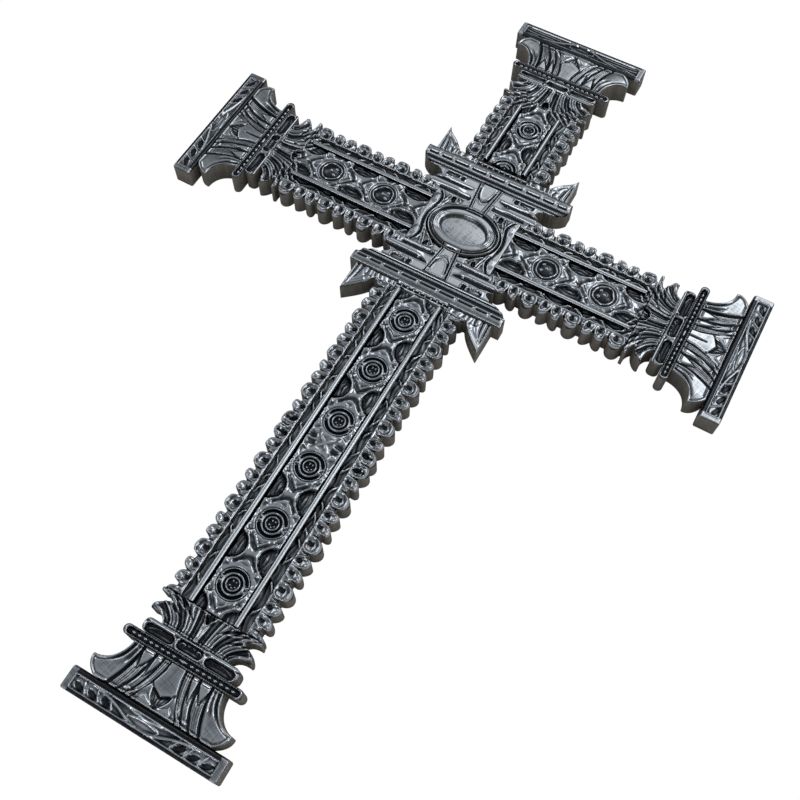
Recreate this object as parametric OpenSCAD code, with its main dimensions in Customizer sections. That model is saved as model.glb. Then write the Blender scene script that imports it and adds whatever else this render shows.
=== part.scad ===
// Processional cross: ornate relief castings on a halved hardwood core, lying on its back.
// X runs across the arms, Y from the foot to the head, Z out of the decorated face.
// The origin is at the middle of the back face of the whole cross.

/* [Cross] */
// Height of the cross from foot to head
cross_h = 600; // [598:0.5:602]
// Span of the cross over the side arms
cross_w = 428; // [427:0.5:429]
// Height of the crossing above the foot
crossing_h = 391; // [390.5:0.5:391.5]
// Depth of the castings, back to face
cast_t = 16; // [15.8:0.1:17]

/* [Capitals] */
// Width of the end plates
abacus_w = 106; // [102:1:110]
// Height of the end plates along the arm
abacus_h = 14.7; // [14.5:0.1:15]
// Height of the leafy bells
bell_h = 27.6; // [27:0.1:28]
// Width of the beaded rings
bead_ring_w = 82; // [80:1:84]
// Height of the beaded rings
bead_ring_h = 6.6; // [6.4:0.1:7]
// Width of the scrolled rings
scroll_ring_w = 65; // [64:0.5:67]
// Height of the scrolled rings
scroll_ring_h = 8.8; // [8.4:0.1:9]
// Height of the leaf necks
neck_h = 18.8; // [18.5:0.1:19]

/* [Arms] */
// Width of the arm panels
panel_w = 45; // [44:0.5:46]
// Distance of each rail from the arm's centre line
rail_x = 15.9; // [15.5:0.1:16.2]
// Width of the rails
rail_w = 2.8; // [2.2:0.1:3]
// Reach of the crest lobes from the arm's centre line
crest_reach = 34.5; // [34:0.5:36]
// Distance between the large crest lobes
crest_pitch = 32.7; // [32:0.1:33.4]
// Radius of the rosettes
rosette_r = 9.6; // [9:0.1:10]

/* [Centre] */
// Width of the centre plate
plate_w = 67.2; // [66:0.2:68]
// Height of the centre plate
plate_h = 49.2; // [48.8:0.2:49.4]
// Width of the oval bezel
bezel_w = 53; // [50:1:55]
// Height of the oval bezel
bezel_h = 40; // [38:1:42]
// Width of the oval plaque
plaque_w = 34; // [32:1:35]
// Height of the oval plaque
plaque_h = 21; // [20:1:22]
// Width of the cornices
cornice_w = 117.6; // [114:1:120]

/* [Core] */
// Width of the hardwood core
core_w = 24; // [22:1:26]
// Thickness of the hardwood core
core_t = 10; // [9:0.5:10]
// Width of the back strips
strip_w = 38; // [34:1:40]
// Thickness of the back strips
strip_t = 2; // [1.5:0.1:2]

/* [Staff socket] */
// Diameter of the bore for the staff's spigot
bore_d = 8; // [7:0.5:8]
// Depth of that bore
bore_depth = 44; // [30:1:46]
// Diameter of the clamp screw
clamp_d = 5; // [4:0.5:6]

/* [Hidden] */
$fn = 48;
fit = 0.1;                  // gap between neighbouring pieces
over = 0.5;                 // how far a cutting shape passes a face
core_z = strip_t;           // back face of the core
core_top = core_z + core_t; // front face of the core
core_fit = 0.2;             // gap round the core in the castings
crossing_y = crossing_h - cross_h / 2;

// Reach of each arm from the crossing, and the turn that points +Y along it
reach_lower = crossing_h;
reach_upper = cross_h - crossing_h;
reach_side = cross_w / 2;
turn_lower = 180;
turn_upper = 0;
turn_left = 90;
turn_right = -90;

// Stations of the capital, measured inwards from the end of an arm
bell_v = abacus_h;
bead_v = bell_v + bell_h;
scroll_v = bead_v + bead_ring_h;
neck_v = scroll_v + scroll_ring_h;
capital_h = neck_v + neck_h;

// Stations of the centre, measured outwards from the crossing
frieze_y = plate_h / 2;
cornice_y = 43.8;
horn_y = 59.1;
arm_y = 65;
side_arm_x = plate_w / 2;
side_crest_x = 42.4;

// Levels of the relief
panel_z = cast_t + 1.8;     // ground of the arm panels
channel_z = cast_t - 0.4;   // floor of the channels beside the rails
ridge_z = cast_t + 2.8;     // thin ridges along the crests
crest_z = cast_t + 1.6;     // scrolled crests
rail_z = cast_t + 3.6;      // tops of the rails
rosette_z = cast_t + 4.2;   // tops of the rosettes
plate_z = cast_t + 2.6;     // ground of the centre plate
bezel_z = cast_t + 5;       // top of the oval bezel
plaque_z = cast_t + 0.6;    // face of the oval plaque
cornice_z = cast_t + 3.6;   // front of the cornices

// Places along the arms, measured outwards from the crossing
lower_mid = (arm_y + reach_lower - capital_h) / 2;
rosettes_half = [17.8, 61, 104.2];
rosettes_lower = concat([for (d = rosettes_half) lower_mid - d], [for (d = rosettes_half) lower_mid + d]);
rosettes_upper = [63.2, 106.5];
bosses_side = [65.4, 108.9];
crest_half = 28.2;
lobes_half = [for (k = [0 : 2]) crest_half + crest_pitch * k];
lobes_lower = concat([for (d = lobes_half) lower_mid - d], [for (d = lobes_half) lower_mid + d]);
pairs_half = concat([11.9], [for (d = lobes_half) d + crest_pitch / 2]);
pairs_lower = concat([for (d = pairs_half) lower_mid - d], [for (d = pairs_half) lower_mid + d]);
lobes_upper = [72, 72 + crest_pitch];
pairs_upper = [for (y = lobes_upper) y + crest_pitch / 2];
lobes_side = [for (k = [0 : 2]) 65.4 + crest_pitch * k];
pairs_side = [for (y = lobes_side) y - crest_pitch / 2];

// Staff socket
socket_l = 52;
socket_t = 12.5;
socket_z = 7.2;             // height of the bore's axis over the back
nose_d = 10.4;
nose_v = 6;                 // wall of the end plate outside the core
clamp_v = 30;               // place of the clamp screw above the foot
clamp_l = 2.8;
clamp_z = 0.2;
clamp_fit = 0.05;
hex_d = 2.9;

// Screws through the back strips and the core into the castings
screw_d = 3;
screw_head_d = 5.6;
screw_head_h = 1.6;
screw_l = 14;
screw_z = 0.1;
screw_side = 8.5;           // offset of the screws beside the staff's bore
abacus_screw = 10;
bell_screw = 28;
bead_screw = bead_v + bead_ring_h / 2;
scroll_screw = scroll_v + scroll_ring_h / 2;
neck_screw = neck_v + 10.3;
capital_vs = [abacus_screw, bell_screw, bead_screw, scroll_screw, neck_screw];
plate_screw = 17.5;
frieze_screw = 31;
cornice_screw = 51.5;
screws_centre = [plate_screw, frieze_screw, cornice_screw];
screws_lower = [for (k = [0 : 5]) arm_y + 12 + k * 45];
screws_upper = [arm_y + 18, arm_y + 52];
screws_side = [52, 87, 122];

metal = [0.55, 0.56, 0.58];
metal_dark = [0.38, 0.39, 0.41];
metal_light = [0.72, 0.73, 0.75];
wood = [0.45, 0.3, 0.18];
brass = [0.72, 0.58, 0.32];

// ---- helpers ----

// Points +Y along an arm, with the origin at the crossing
module along(turn) { translate([0, crossing_y, 0]) rotate([0, 0, turn]) children(); }

// Box centred on X, from y0 to y1 and from z0 to z1
module slab(w, y0, y1, z0, z1) { translate([-w / 2, y0, z0]) cube([w, y1 - y0, z1 - z0]); }

// A flat outline drawn with y counted inwards from the end of an arm, raised from z0 to z1
module casting(reach, z0, z1) {
    translate([0, reach, z0]) mirror([0, 1, 0]) linear_extrude(z1 - z0) children();
}

// Bar with round ends, in the flat
module stadium(w, h) {
    square([w - h, h], center = true);
    for (s = [-1, 1]) translate([s * (w - h) / 2, 0]) circle(d = h);
}

// Outline mirrored about the centre line, from points on its right side
module both_sides(points) {
    polygon(concat(points, [for (i = [len(points) - 1 : -1 : 0]) [-points[i][0], points[i][1]]]));
}

// Points of an arc of an ellipse
function arc(cx, cy, rx, ry, a0, a1, n = 8) =
    [for (i = [0 : n]) let (a = a0 + (a1 - a0) * i / n) [cx + rx * cos(a), cy + ry * sin(a)]];

module oval(w, h) { polygon(arc(0, 0, w / 2, h / 2, 0, 352.5, 47)); }

// Places of screws across an arm: one, or a pair beside the staff's bore
function screw_xs(pair) = pair ? [-screw_side, screw_side] : [0];

module at_screws(places, pair = false) {
    for (y = places) for (x = screw_xs(pair)) translate([x, y, 0]) children();
}

// Puts its child at every screw of the cross
module each_screw() {
    along(turn_lower) at_screws(concat(screws_centre, screws_lower)) children();
    along(turn_lower) at_screws([for (v = capital_vs) reach_lower - v], true) children();
    along(turn_upper)
        at_screws(concat(screws_centre, screws_upper, [for (v = capital_vs) reach_upper - v])) children();
    for (turn = [turn_left, turn_right])
        along(turn) at_screws(concat(screws_side, [for (v = capital_vs) reach_side - v])) children();
}

// Hole for a screw with some play on its radius
module screw_hole(play) {
    translate([0, 0, -over]) cylinder(d = screw_d + 2 * play, h = over + screw_z + screw_l + fit);
}

module sink() {
    translate([0, 0, -over]) cylinder(d = screw_head_d + 2 * fit, h = over + screw_z + screw_head_h + fit);
}

// Space in a casting for the core, the back strip, the staff socket and the casting's own screws
module inside(reach, places, foot = false) {
    end = foot ? reach - nose_v - socket_l : reach - nose_v + core_fit;
    slab(core_w + 2 * core_fit, -core_w / 2, end, core_z - over, core_top + core_fit);
    slab(strip_w + 2 * core_fit, -strip_w / 2, end, -over, core_z + fit);
    if (foot) {
        slab(core_w + 2 * core_fit, end - over, reach - nose_v + core_fit, -over, socket_t + core_fit);
        translate([0, reach - nose_v, socket_z]) rotate([-90, 0, 0])
            cylinder(d = nose_d + 2 * fit, h = nose_v + over);
        slab(nose_d + 2 * fit, reach - nose_v, reach + over, -over, socket_z);
    }
    at_screws(places, foot) screw_hole(fit);
}

// Space for the crossed cores under the middle of the cross
module crossed_inside() {
    for (turn = [turn_lower, turn_upper]) along(turn) inside(reach_upper, screws_centre);
    for (turn = [turn_left, turn_right]) along(turn) inside(reach_side, []);
}

// ---- core, strips, screws and socket ----

// Housing of the half lap, from z0 to z1
module lap(turn, z0, z1) { along(turn) slab(core_w + 2 * fit, -core_w / 2 - fit, core_w / 2 + fit, z0, z1); }

module core_upright() color(wood) difference() {
    along(turn_upper)
        slab(core_w, -(reach_lower - nose_v - socket_l - fit), reach_upper - nose_v, core_z, core_top);
    lap(turn_upper, core_z + core_t / 2, core_top + over);
    each_screw() screw_hole(fit);
}

module core_crossbar() color(wood) difference() {
    along(turn_right) slab(core_w, -(reach_side - nose_v), reach_side - nose_v, core_z, core_top);
    lap(turn_right, 0, core_z + core_t / 2 + fit);
    each_screw() screw_hole(fit);
}

module back_strip_upright() color(metal_dark) difference() {
    along(turn_upper)
        slab(strip_w, -(reach_lower - nose_v - socket_l - fit), reach_upper - nose_v, 0, strip_t - fit);
    each_screw() screw_hole(fit);
    each_screw() sink();
}

module back_strips_side() color(metal_dark) difference() {
    for (turn = [turn_left, turn_right])
        along(turn) slab(strip_w, strip_w / 2 + fit, reach_side - nose_v, 0, strip_t - fit);
    each_screw() screw_hole(fit);
    each_screw() sink();
}

module screw() translate([0, 0, screw_z]) difference() {
    union() {
        cylinder(d = screw_head_d, h = screw_head_h);
        cylinder(d = screw_d, h = screw_l);
    }
    translate([0, 0, -over]) cylinder(d = hex_d, h = over + 1, $fn = 6);
}

module cover_screws() color(metal_light) each_screw() screw();

module staff_socket() color(brass) difference() {
    along(turn_lower) union() {
        slab(core_w, reach_lower - nose_v - socket_l, reach_lower - nose_v, 0, socket_t);
        translate([0, reach_lower - nose_v - 1, socket_z]) rotate([-90, 0, 0])
            cylinder(d = nose_d, h = nose_v + 1);
        slab(nose_d, reach_lower - nose_v - 1, reach_lower, 0, socket_z);
    }
    along(turn_lower) {
        translate([0, reach_lower - bore_depth, socket_z]) rotate([-90, 0, 0])
            cylinder(d = bore_d, h = bore_depth + over);
        translate([0, reach_lower - clamp_v, -over])
            cylinder(d = clamp_d + 2 * clamp_fit, h = socket_z + over);
    }
    each_screw() screw_hole(fit);
    each_screw() sink();
}

module clamp_screw() color(metal_light) along(turn_lower) translate([0, reach_lower - clamp_v, clamp_z])
    difference() {
        cylinder(d = clamp_d, h = clamp_l);
        translate([0, 0, -over]) cylinder(d = hex_d, h = over + clamp_l / 2, $fn = 6);
    }

// ---- capitals, drawn with y counted inwards from the end of the arm ----

// Row of small leaves in the sunk frieze of an end plate
module abacus_leaves() {
    translate([0, abacus_h / 2 - 0.2]) oval(24, 5.6);
    for (s = [-1, 1]) for (x = [19, 27, 35.5, 44.5]) translate([s * x, abacus_h / 2 - 0.3]) oval(6.4, 6);
}

module abacus(turn, reach, foot = false) color(metal) along(turn) difference() {
    casting(reach, 0, cast_t) translate([-abacus_w / 2, 0]) square([abacus_w, abacus_h - fit]);
    difference() {
        casting(reach, cast_t - 1.5, cast_t + over)
            translate([-abacus_w / 2 + 3.4, 3]) square([abacus_w - 6.8, abacus_h - 6.6]);
        casting(reach, cast_t - 2, cast_t - 0.3) abacus_leaves();
    }
    inside(reach, [reach - abacus_screw], foot);
}

// Right side of a bell: a hollow curve out to the curled leaf tip, then round to the end plate
bell_side = concat(arc(47.4, bell_h - fit, 16.2, 17.4, 180, 270, 10), arc(40.5, 7.6, 7.4, 7.6, 20, -90, 6));

// Centre leaf of a bell, with its turned-over tip
module shield_leaf(w, tip) {
    both_sides(concat([[w * 0.62, bell_h - 1]], arc(0, tip + w * 1.4, w, w * 1.4, 20, -90, 6)));
}

module bell(turn, reach, foot = false) color(metal) along(turn) difference() {
    union() {
        casting(reach, 0, cast_t) translate([0, bell_v]) both_sides(bell_side);
        casting(reach, cast_t - 1, cast_t + 0.9) translate([0, bell_v]) shield_leaf(7.2, 3);
        for (s = [-1, 1]) casting(reach, cast_t - 1, cast_t + 0.6) translate([s * 21, bell_v + 14])
            rotate([0, 0, s * -38]) oval(8, 22);
    }
    inside(reach, [reach - bell_screw], foot);
}

module bead_ring(turn, reach, foot = false) color(metal_light) along(turn) difference() {
    mid = bead_v + bead_ring_h / 2;
    union() {
        difference() {
            casting(reach, 0, cast_t + 0.6) translate([0, mid]) stadium(bead_ring_w, bead_ring_h - fit);
            casting(reach, cast_t - 0.8, cast_t + 1)
                translate([0, mid]) stadium(bead_ring_w - 3, bead_ring_h - 2.8);
        }
        for (i = [-8 : 8]) translate([i * 4.5, reach - mid, cast_t - 0.9]) sphere(r = 1.7, $fn = 24);
    }
    inside(reach, [reach - bead_screw], foot);
}

module scroll_ring(turn, reach, foot = false) color(metal_light) along(turn) difference() {
    mid = scroll_v + scroll_ring_h / 2;
    union() {
        difference() {
            casting(reach, 0, cast_t + 1) translate([0, mid]) stadium(scroll_ring_w, scroll_ring_h - fit);
            for (s = [-1, 1]) casting(reach, cast_t - 0.6, cast_t + 2)
                translate([s * 20.4, mid - 0.8]) stadium(17, 4.4);
        }
        casting(reach, cast_t, cast_t + 2) translate([0, mid]) stadium(18, 6.6);
    }
    inside(reach, [reach - scroll_screw], foot);
}

// Right side of a neck: two leaf tips that curl outwards
neck_side = concat([[22.8, 0]], arc(36, -0.6, 12, 6.6, 160, 100, 4), [[34.6, 7.4]],
                   arc(33.5, 12.8, 7.4, 5, 265, 185, 4), arc(34.5, 12.4, 8.4, 4, 175, 95, 4),
                   [[34.4, 17.2], [34.4, neck_h - fit]]);

module neck(turn, reach, foot = false) color(metal) along(turn) difference() {
    union() {
        casting(reach, 0, cast_t) translate([0, neck_v]) both_sides(neck_side);
        for (i = [-3 : 3]) casting(reach, cast_t - 0.5, cast_t + 1.4) translate([i * 6.2, neck_v + 1.2])
            rotate([0, 0, -i * 6]) translate([-1.6, 0]) square([3.2, neck_h - 4]);
    }
    inside(reach, [reach - neck_screw], foot);
}

// ---- arms, drawn with y counted outwards from the crossing ----

module panel(turn, y0, y1, reach, places) color(metal_dark) along(turn) difference() {
    union() {
        slab(panel_w - 2 * fit, y0, y1 - fit, core_top + fit, channel_z);
        slab(2 * rail_x - rail_w - 2 * fit, y0, y1 - fit, channel_z - over, panel_z);
    }
    inside(reach, places);
}

module rails(turn, y0, y1) color(metal_light) along(turn) for (s = [-1, 1]) translate([s * rail_x, 0, 0]) {
    slab(rail_w, y0, y1 - fit, channel_z + fit, rail_z - rail_w / 2);
    translate([0, y0, rail_z - rail_w / 2]) rotate([-90, 0, 0]) cylinder(d = rail_w, h = y1 - fit - y0);
}

// Rosette of rings with a pit in the middle
module rosette() {
    rise = rosette_z - panel_z - fit;
    translate([0, 0, panel_z + fit]) difference() {
        union() {
            cylinder(r = rosette_r, h = rise - 1.2);
            cylinder(r = rosette_r * 0.74, h = rise - 0.5);
            cylinder(r = rosette_r * 0.46, h = rise);
        }
        translate([0, 0, rise - 1.2]) difference() {
            cylinder(r = rosette_r * 0.62, h = 3);
            translate([0, 0, -1]) cylinder(r = rosette_r * 0.46, h = 5);
        }
        translate([0, 0, rise - 1.6]) cylinder(r = rosette_r * 0.24, h = 3);
    }
}

module rosettes(turn, places) color(metal_light) along(turn) difference() {
    for (y = places) translate([0, y, 0]) rosette();
    slab(panel_w, 0, arm_y, 0, cast_t * 2);
}

// Domed boss in a ring
module boss() {
    rise = rosette_z - panel_z - fit;
    dome_r = rosette_r * 0.66;
    translate([0, 0, panel_z + fit]) {
        difference() {
            cylinder(r = rosette_r, h = rise - 0.6);
            translate([0, 0, rise - 1.8]) cylinder(r = rosette_r * 0.8, h = 3);
        }
        intersection() {
            translate([0, 0, rise - dome_r]) sphere(r = dome_r);
            cylinder(r = rosette_r, h = rise);
        }
    }
}

module bosses(turn, places) color(metal_light) along(turn) for (y = places) translate([0, y, 0]) boss();

// Rounded crest lobe, tied to the crest's wall
module lobe(y, r) {
    root = panel_w / 2 + 1;
    translate([crest_reach - r, y, 0]) cylinder(r = r, h = crest_z);
    translate([root, y - r * 0.7, cast_t - 1]) cube([crest_reach - r - root, r * 1.4, crest_z - cast_t + 1]);
}

// Crest along one side of an arm, on the side of +X
module crest(y0, y1, lobes, pairs, flange_y) {
    root = core_w / 2 + core_fit;
    difference() {
        union() {
            translate([panel_w / 2, y0, 0]) cube([6.8, y1 - fit - y0, cast_t]);
            translate([root, flange_y, 0]) cube([panel_w / 2 - root, y1 - fit - flange_y, core_top]);
            translate([panel_w / 2, y0, cast_t - 1]) cube([1.4, y1 - fit - y0, ridge_z - cast_t + 1]);
            intersection() {
                union() {
                    for (y = lobes) lobe(y, 4.6);
                    for (y = pairs) for (s = [-1, 1]) lobe(y + s * 4.1, 3.5);
                }
                translate([0, y0, 0]) cube([2 * crest_reach, y1 - fit - y0, 2 * cast_t]);
            }
        }
        for (y = lobes) translate([28, y, cast_t - 0.4]) cylinder(r = 2, h = 4);
        for (y = pairs) for (s = [-1, 1]) translate([27.6, y + s * 4.1, cast_t - 0.4])
            cylinder(r = 1.4, h = 4);
    }
}

module border(turn, side, y0, y1, lobes, pairs, flange_y, reach) color(metal) along(turn) difference() {
    mirror([side < 0 ? 1 : 0, 0, 0]) crest(y0, y1, lobes, pairs, flange_y);
    inside(reach, []);
}

module lower_border(side)
    border(turn_lower, side, arm_y, reach_lower - capital_h, lobes_lower, pairs_lower, arm_y, reach_lower);

module upper_border(side)
    border(turn_upper, side, arm_y, reach_upper - capital_h, lobes_upper, pairs_upper, arm_y, reach_upper);

module side_border(turn, side)
    border(turn, side, side_crest_x, reach_side - capital_h, lobes_side, pairs_side,
           side_arm_x + fit, reach_side);

// ---- centre ----

module centre_plate() color(metal) difference() {
    along(turn_upper) union() {
        slab(plate_w - fit, -plate_h / 2, plate_h / 2, 0, plate_z - 1);
        for (s = [-1, 1]) translate([s * (plate_w / 2 - 3.4), 0, 0])
            slab(6.4, -plate_h / 2, plate_h / 2, plate_z - 1.5, plate_z + 0.4);
    }
    along(turn_upper)
        translate([0, 0, core_top - 1]) linear_extrude(cast_t) oval(plaque_w + 0.6, plaque_h + 0.6);
    for (turn = [turn_lower, turn_upper])
        along(turn) slab(19.2, plate_h / 2 - 8, plate_h, plate_z - 1.2 - fit, cast_t * 2);
    crossed_inside();
}

module oval_bezel() color(metal_light) along(turn_upper) {
    translate([0, 0, plate_z - 1 + fit]) linear_extrude(1.6) difference() {
        oval(bezel_w, bezel_h);
        oval(plaque_w, plaque_h);
    }
    translate([0, 0, plate_z + fit]) linear_extrude(bezel_z - plate_z - fit) difference() {
        oval(bezel_w - 7, bezel_h - 7);
        oval(plaque_w + 4, plaque_h + 4);
    }
}

module oval_plaque() color(metal_light) along(turn_upper) translate([0, 0, core_top + fit])
    linear_extrude(plaque_z - core_top - fit) oval(plaque_w - fit, plaque_h - fit);

// Frieze between the centre plate and a cornice: two rolls over a splayed corbel
module frieze(turn) color(metal) difference() {
    along(turn) {
        linear_extrude(cast_t + 1.2) both_sides(concat(
            [[side_arm_x + fit, frieze_y + fit], [side_arm_x + fit, panel_w / 2 + fit],
             [side_crest_x - fit, panel_w / 2 + fit], [side_crest_x - fit, 36]],
            arc(47.8, 36.4, 11.6, cornice_y - fit - 36.4, 180, 90, 6)));
        for (s = [-1, 1]) for (y = [28.6, 33.6]) translate([s * 10, y, cast_t + 1.2]) rotate([0, s * 90, 0])
            cylinder(d = 4, h = side_crest_x - 10 - fit);
    }
    along(turn) slab(19.2, 0, cornice_y + 1, plate_z - 1.2 - fit, cast_t * 2);
    along(turn) inside(reach_upper, [frieze_screw]);
}

// Keystone between the bezel and a cornice, over the frieze
module keystone(turn) color(metal_light) along(turn) difference() {
    translate([0, 0, plate_z - 1.2]) linear_extrude(2.6) both_sides([[7, 19], [9.3, cornice_y - fit]]);
    translate([0, 0, plate_z + 0.4]) linear_extrude(3) both_sides([[5.4, 18], [7.6, cornice_y - 1.4]]);
    translate([0, 0, plate_z - 4]) linear_extrude(12) oval(bezel_w + 2 * fit, bezel_h + 2 * fit);
}

// Cornice: stepped rolls, and a beaded strip beyond them
module cornice(turn) color(metal) along(turn) difference() {
    union() {
        linear_extrude(cast_t) both_sides(concat([[48, cornice_y]],
            arc(cornice_w / 2, cornice_y + 0.2, 7, 6.6, 180, 90, 5), [[cornice_w / 2, horn_y - fit]]));
        for (roll = [[47, 2.8, 4.2, 0.6], [57.6, 7.6, 3, 0.8], [58, 12.2, 5.4, 0.9]])
            translate([-roll[0], cornice_y + roll[1], cast_t + roll[3]])
                rotate([0, 90, 0]) cylinder(d = roll[2], h = 2 * roll[0]);
        slab(40, horn_y - 1, arm_y - fit, 0, cast_t + 0.4);
        for (i = [-5 : 5]) translate([i * 3.6, horn_y + 2, cast_t + 0.2]) sphere(r = 1.5, $fn = 24);
    }
    inside(reach_upper, [cornice_screw]);
}

// Horned leaf beyond a cornice, with its row of flutes
module horn(turn, side) color(metal) along(turn) mirror([side < 0 ? 1 : 0, 0, 0]) {
    foot = arm_y - fit;
    linear_extrude(cast_t) polygon([
        [20.1, horn_y], [53.4, horn_y], [53.4, 82], [52.6, 83],
        [48.4, 79.3], [43.7, 74.7], [39.6, 70.2], [36.4, foot], [20.1, foot],
    ]);
    for (i = [0 : 10]) translate([21.8 + i * 2.9, horn_y, cast_t]) rotate([-90, 0, 0])
        cylinder(d = 2.2, h = foot - horn_y);
    for (i = [0 : 3]) translate([44.4 + i * 2.6, horn_y, cast_t]) rotate([-90, 0, 0])
        cylinder(d = 2, h = 9 + 4 * i);
}

// ---- one module per sub-part ----

module upper_frieze() { frieze(turn_upper); }
module lower_frieze() { frieze(turn_lower); }
module upper_keystone() { keystone(turn_upper); }
module lower_keystone() { keystone(turn_lower); }
module upper_cornice() { cornice(turn_upper); }
module lower_cornice() { cornice(turn_lower); }
module upper_left_horn() { horn(turn_upper, -1); }
module upper_right_horn() { horn(turn_upper, 1); }
module lower_left_horn() { horn(turn_lower, 1); }
module lower_right_horn() { horn(turn_lower, -1); }
module lower_panel() { panel(turn_lower, arm_y, reach_lower - capital_h, reach_lower, screws_lower); }
module lower_rosettes() { rosettes(turn_lower, rosettes_lower); }
module lower_rails() { rails(turn_lower, arm_y, reach_lower - capital_h); }
module lower_border_left() { lower_border(1); }
module lower_border_right() { lower_border(-1); }
module upper_panel() { panel(turn_upper, arm_y, reach_upper - capital_h, reach_upper, screws_upper); }
module upper_rosettes() { rosettes(turn_upper, rosettes_upper); }
module upper_rails() { rails(turn_upper, arm_y, reach_upper - capital_h); }
module upper_border_left() { upper_border(-1); }
module upper_border_right() { upper_border(1); }
module left_panel() { panel(turn_left, side_arm_x, reach_side - capital_h, reach_side, screws_side); }
module left_bosses() { bosses(turn_left, bosses_side); }
module left_rails() { rails(turn_left, side_arm_x, reach_side - capital_h); }
module left_border_top() { side_border(turn_left, 1); }
module left_border_bottom() { side_border(turn_left, -1); }
module right_panel() { panel(turn_right, side_arm_x, reach_side - capital_h, reach_side, screws_side); }
module right_bosses() { bosses(turn_right, bosses_side); }
module right_rails() { rails(turn_right, side_arm_x, reach_side - capital_h); }
module right_border_top() { side_border(turn_right, -1); }
module right_border_bottom() { side_border(turn_right, 1); }
module lower_neck() { neck(turn_lower, reach_lower, true); }
module lower_scroll_ring() { scroll_ring(turn_lower, reach_lower, true); }
module lower_bead_ring() { bead_ring(turn_lower, reach_lower, true); }
module lower_bell() { bell(turn_lower, reach_lower, true); }
module lower_abacus() { abacus(turn_lower, reach_lower, true); }
module upper_neck() { neck(turn_upper, reach_upper); }
module upper_scroll_ring() { scroll_ring(turn_upper, reach_upper); }
module upper_bead_ring() { bead_ring(turn_upper, reach_upper); }
module upper_bell() { bell(turn_upper, reach_upper); }
module upper_abacus() { abacus(turn_upper, reach_upper); }
module left_neck() { neck(turn_left, reach_side); }
module left_scroll_ring() { scroll_ring(turn_left, reach_side); }
module left_bead_ring() { bead_ring(turn_left, reach_side); }
module left_bell() { bell(turn_left, reach_side); }
module left_abacus() { abacus(turn_left, reach_side); }
module right_neck() { neck(turn_right, reach_side); }
module right_scroll_ring() { scroll_ring(turn_right, reach_side); }
module right_bead_ring() { bead_ring(turn_right, reach_side); }
module right_bell() { bell(turn_right, reach_side); }
module right_abacus() { abacus(turn_right, reach_side); }

// ---- one line per node ----

core_upright();
core_crossbar();
back_strip_upright();
back_strips_side();
cover_screws();
staff_socket();
clamp_screw();
centre_plate();
oval_bezel();
oval_plaque();
upper_frieze();
lower_frieze();
upper_keystone();
lower_keystone();
upper_cornice();
lower_cornice();
upper_left_horn();
upper_right_horn();
lower_left_horn();
lower_right_horn();
lower_panel();
lower_rosettes();
lower_rails();
lower_border_left();
lower_border_right();
upper_panel();
upper_rosettes();
upper_rails();
upper_border_left();
upper_border_right();
left_panel();
left_bosses();
left_rails();
left_border_top();
left_border_bottom();
right_panel();
right_bosses();
right_rails();
right_border_top();
right_border_bottom();
lower_neck();
lower_scroll_ring();
lower_bead_ring();
lower_bell();
lower_abacus();
upper_neck();
upper_scroll_ring();
upper_bead_ring();
upper_bell();
upper_abacus();
left_neck();
left_scroll_ring();
left_bead_ring();
left_bell();
left_abacus();
right_neck();
right_scroll_ring();
right_bead_ring();
right_bell();
right_abacus();
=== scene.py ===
"""Processional cross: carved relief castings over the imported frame, on a pale studio floor.

Lengths in a casting's own plane are in parts, thousandths of the cross's height; heights and levels are in
millimetres. Each arm has its own plane: x across the arm, v outwards from the crossing, w inwards from the
arm's end. The centre's castings use the upper arm's plane, and the lower ones are turned half round.
"""
import math

import bpy
import numpy as np
from mathutils import Matrix, Vector

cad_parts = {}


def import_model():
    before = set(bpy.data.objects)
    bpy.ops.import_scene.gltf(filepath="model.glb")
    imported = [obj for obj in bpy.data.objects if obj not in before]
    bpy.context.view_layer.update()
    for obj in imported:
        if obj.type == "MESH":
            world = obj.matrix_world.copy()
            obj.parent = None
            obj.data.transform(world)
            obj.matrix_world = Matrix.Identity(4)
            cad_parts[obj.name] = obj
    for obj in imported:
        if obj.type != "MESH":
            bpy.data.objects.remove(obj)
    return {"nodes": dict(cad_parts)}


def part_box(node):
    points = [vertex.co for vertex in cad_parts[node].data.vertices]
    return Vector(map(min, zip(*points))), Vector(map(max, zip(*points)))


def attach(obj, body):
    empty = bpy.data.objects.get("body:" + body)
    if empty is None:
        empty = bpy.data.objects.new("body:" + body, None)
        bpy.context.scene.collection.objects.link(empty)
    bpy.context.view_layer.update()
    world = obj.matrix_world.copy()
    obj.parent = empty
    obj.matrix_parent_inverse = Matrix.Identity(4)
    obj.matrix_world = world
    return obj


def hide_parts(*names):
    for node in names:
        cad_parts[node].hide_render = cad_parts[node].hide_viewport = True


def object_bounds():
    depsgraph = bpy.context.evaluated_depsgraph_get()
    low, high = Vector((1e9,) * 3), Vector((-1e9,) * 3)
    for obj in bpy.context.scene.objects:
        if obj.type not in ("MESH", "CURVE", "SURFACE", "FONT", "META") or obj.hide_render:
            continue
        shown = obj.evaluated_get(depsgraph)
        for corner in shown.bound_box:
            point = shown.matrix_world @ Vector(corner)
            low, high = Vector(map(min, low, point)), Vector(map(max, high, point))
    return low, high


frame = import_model()
CAD_BOX = [list(corner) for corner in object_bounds()]

MM = 0.001
HEIGHT = CAD_BOX[1][1] - CAD_BOX[0][1]
PART = HEIGHT / 1000                      # metres in one part
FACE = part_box("upper_abacus")[1][2] / MM  # level of the end plates' faces
BACK = 0.6                                # level of the castings' backs, inside the back strips
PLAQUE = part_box("oval_plaque")
CROSSING = Vector(((PLAQUE[0][0] + PLAQUE[1][0]) / 2, (PLAQUE[0][1] + PLAQUE[1][1]) / 2, 0))

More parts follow.
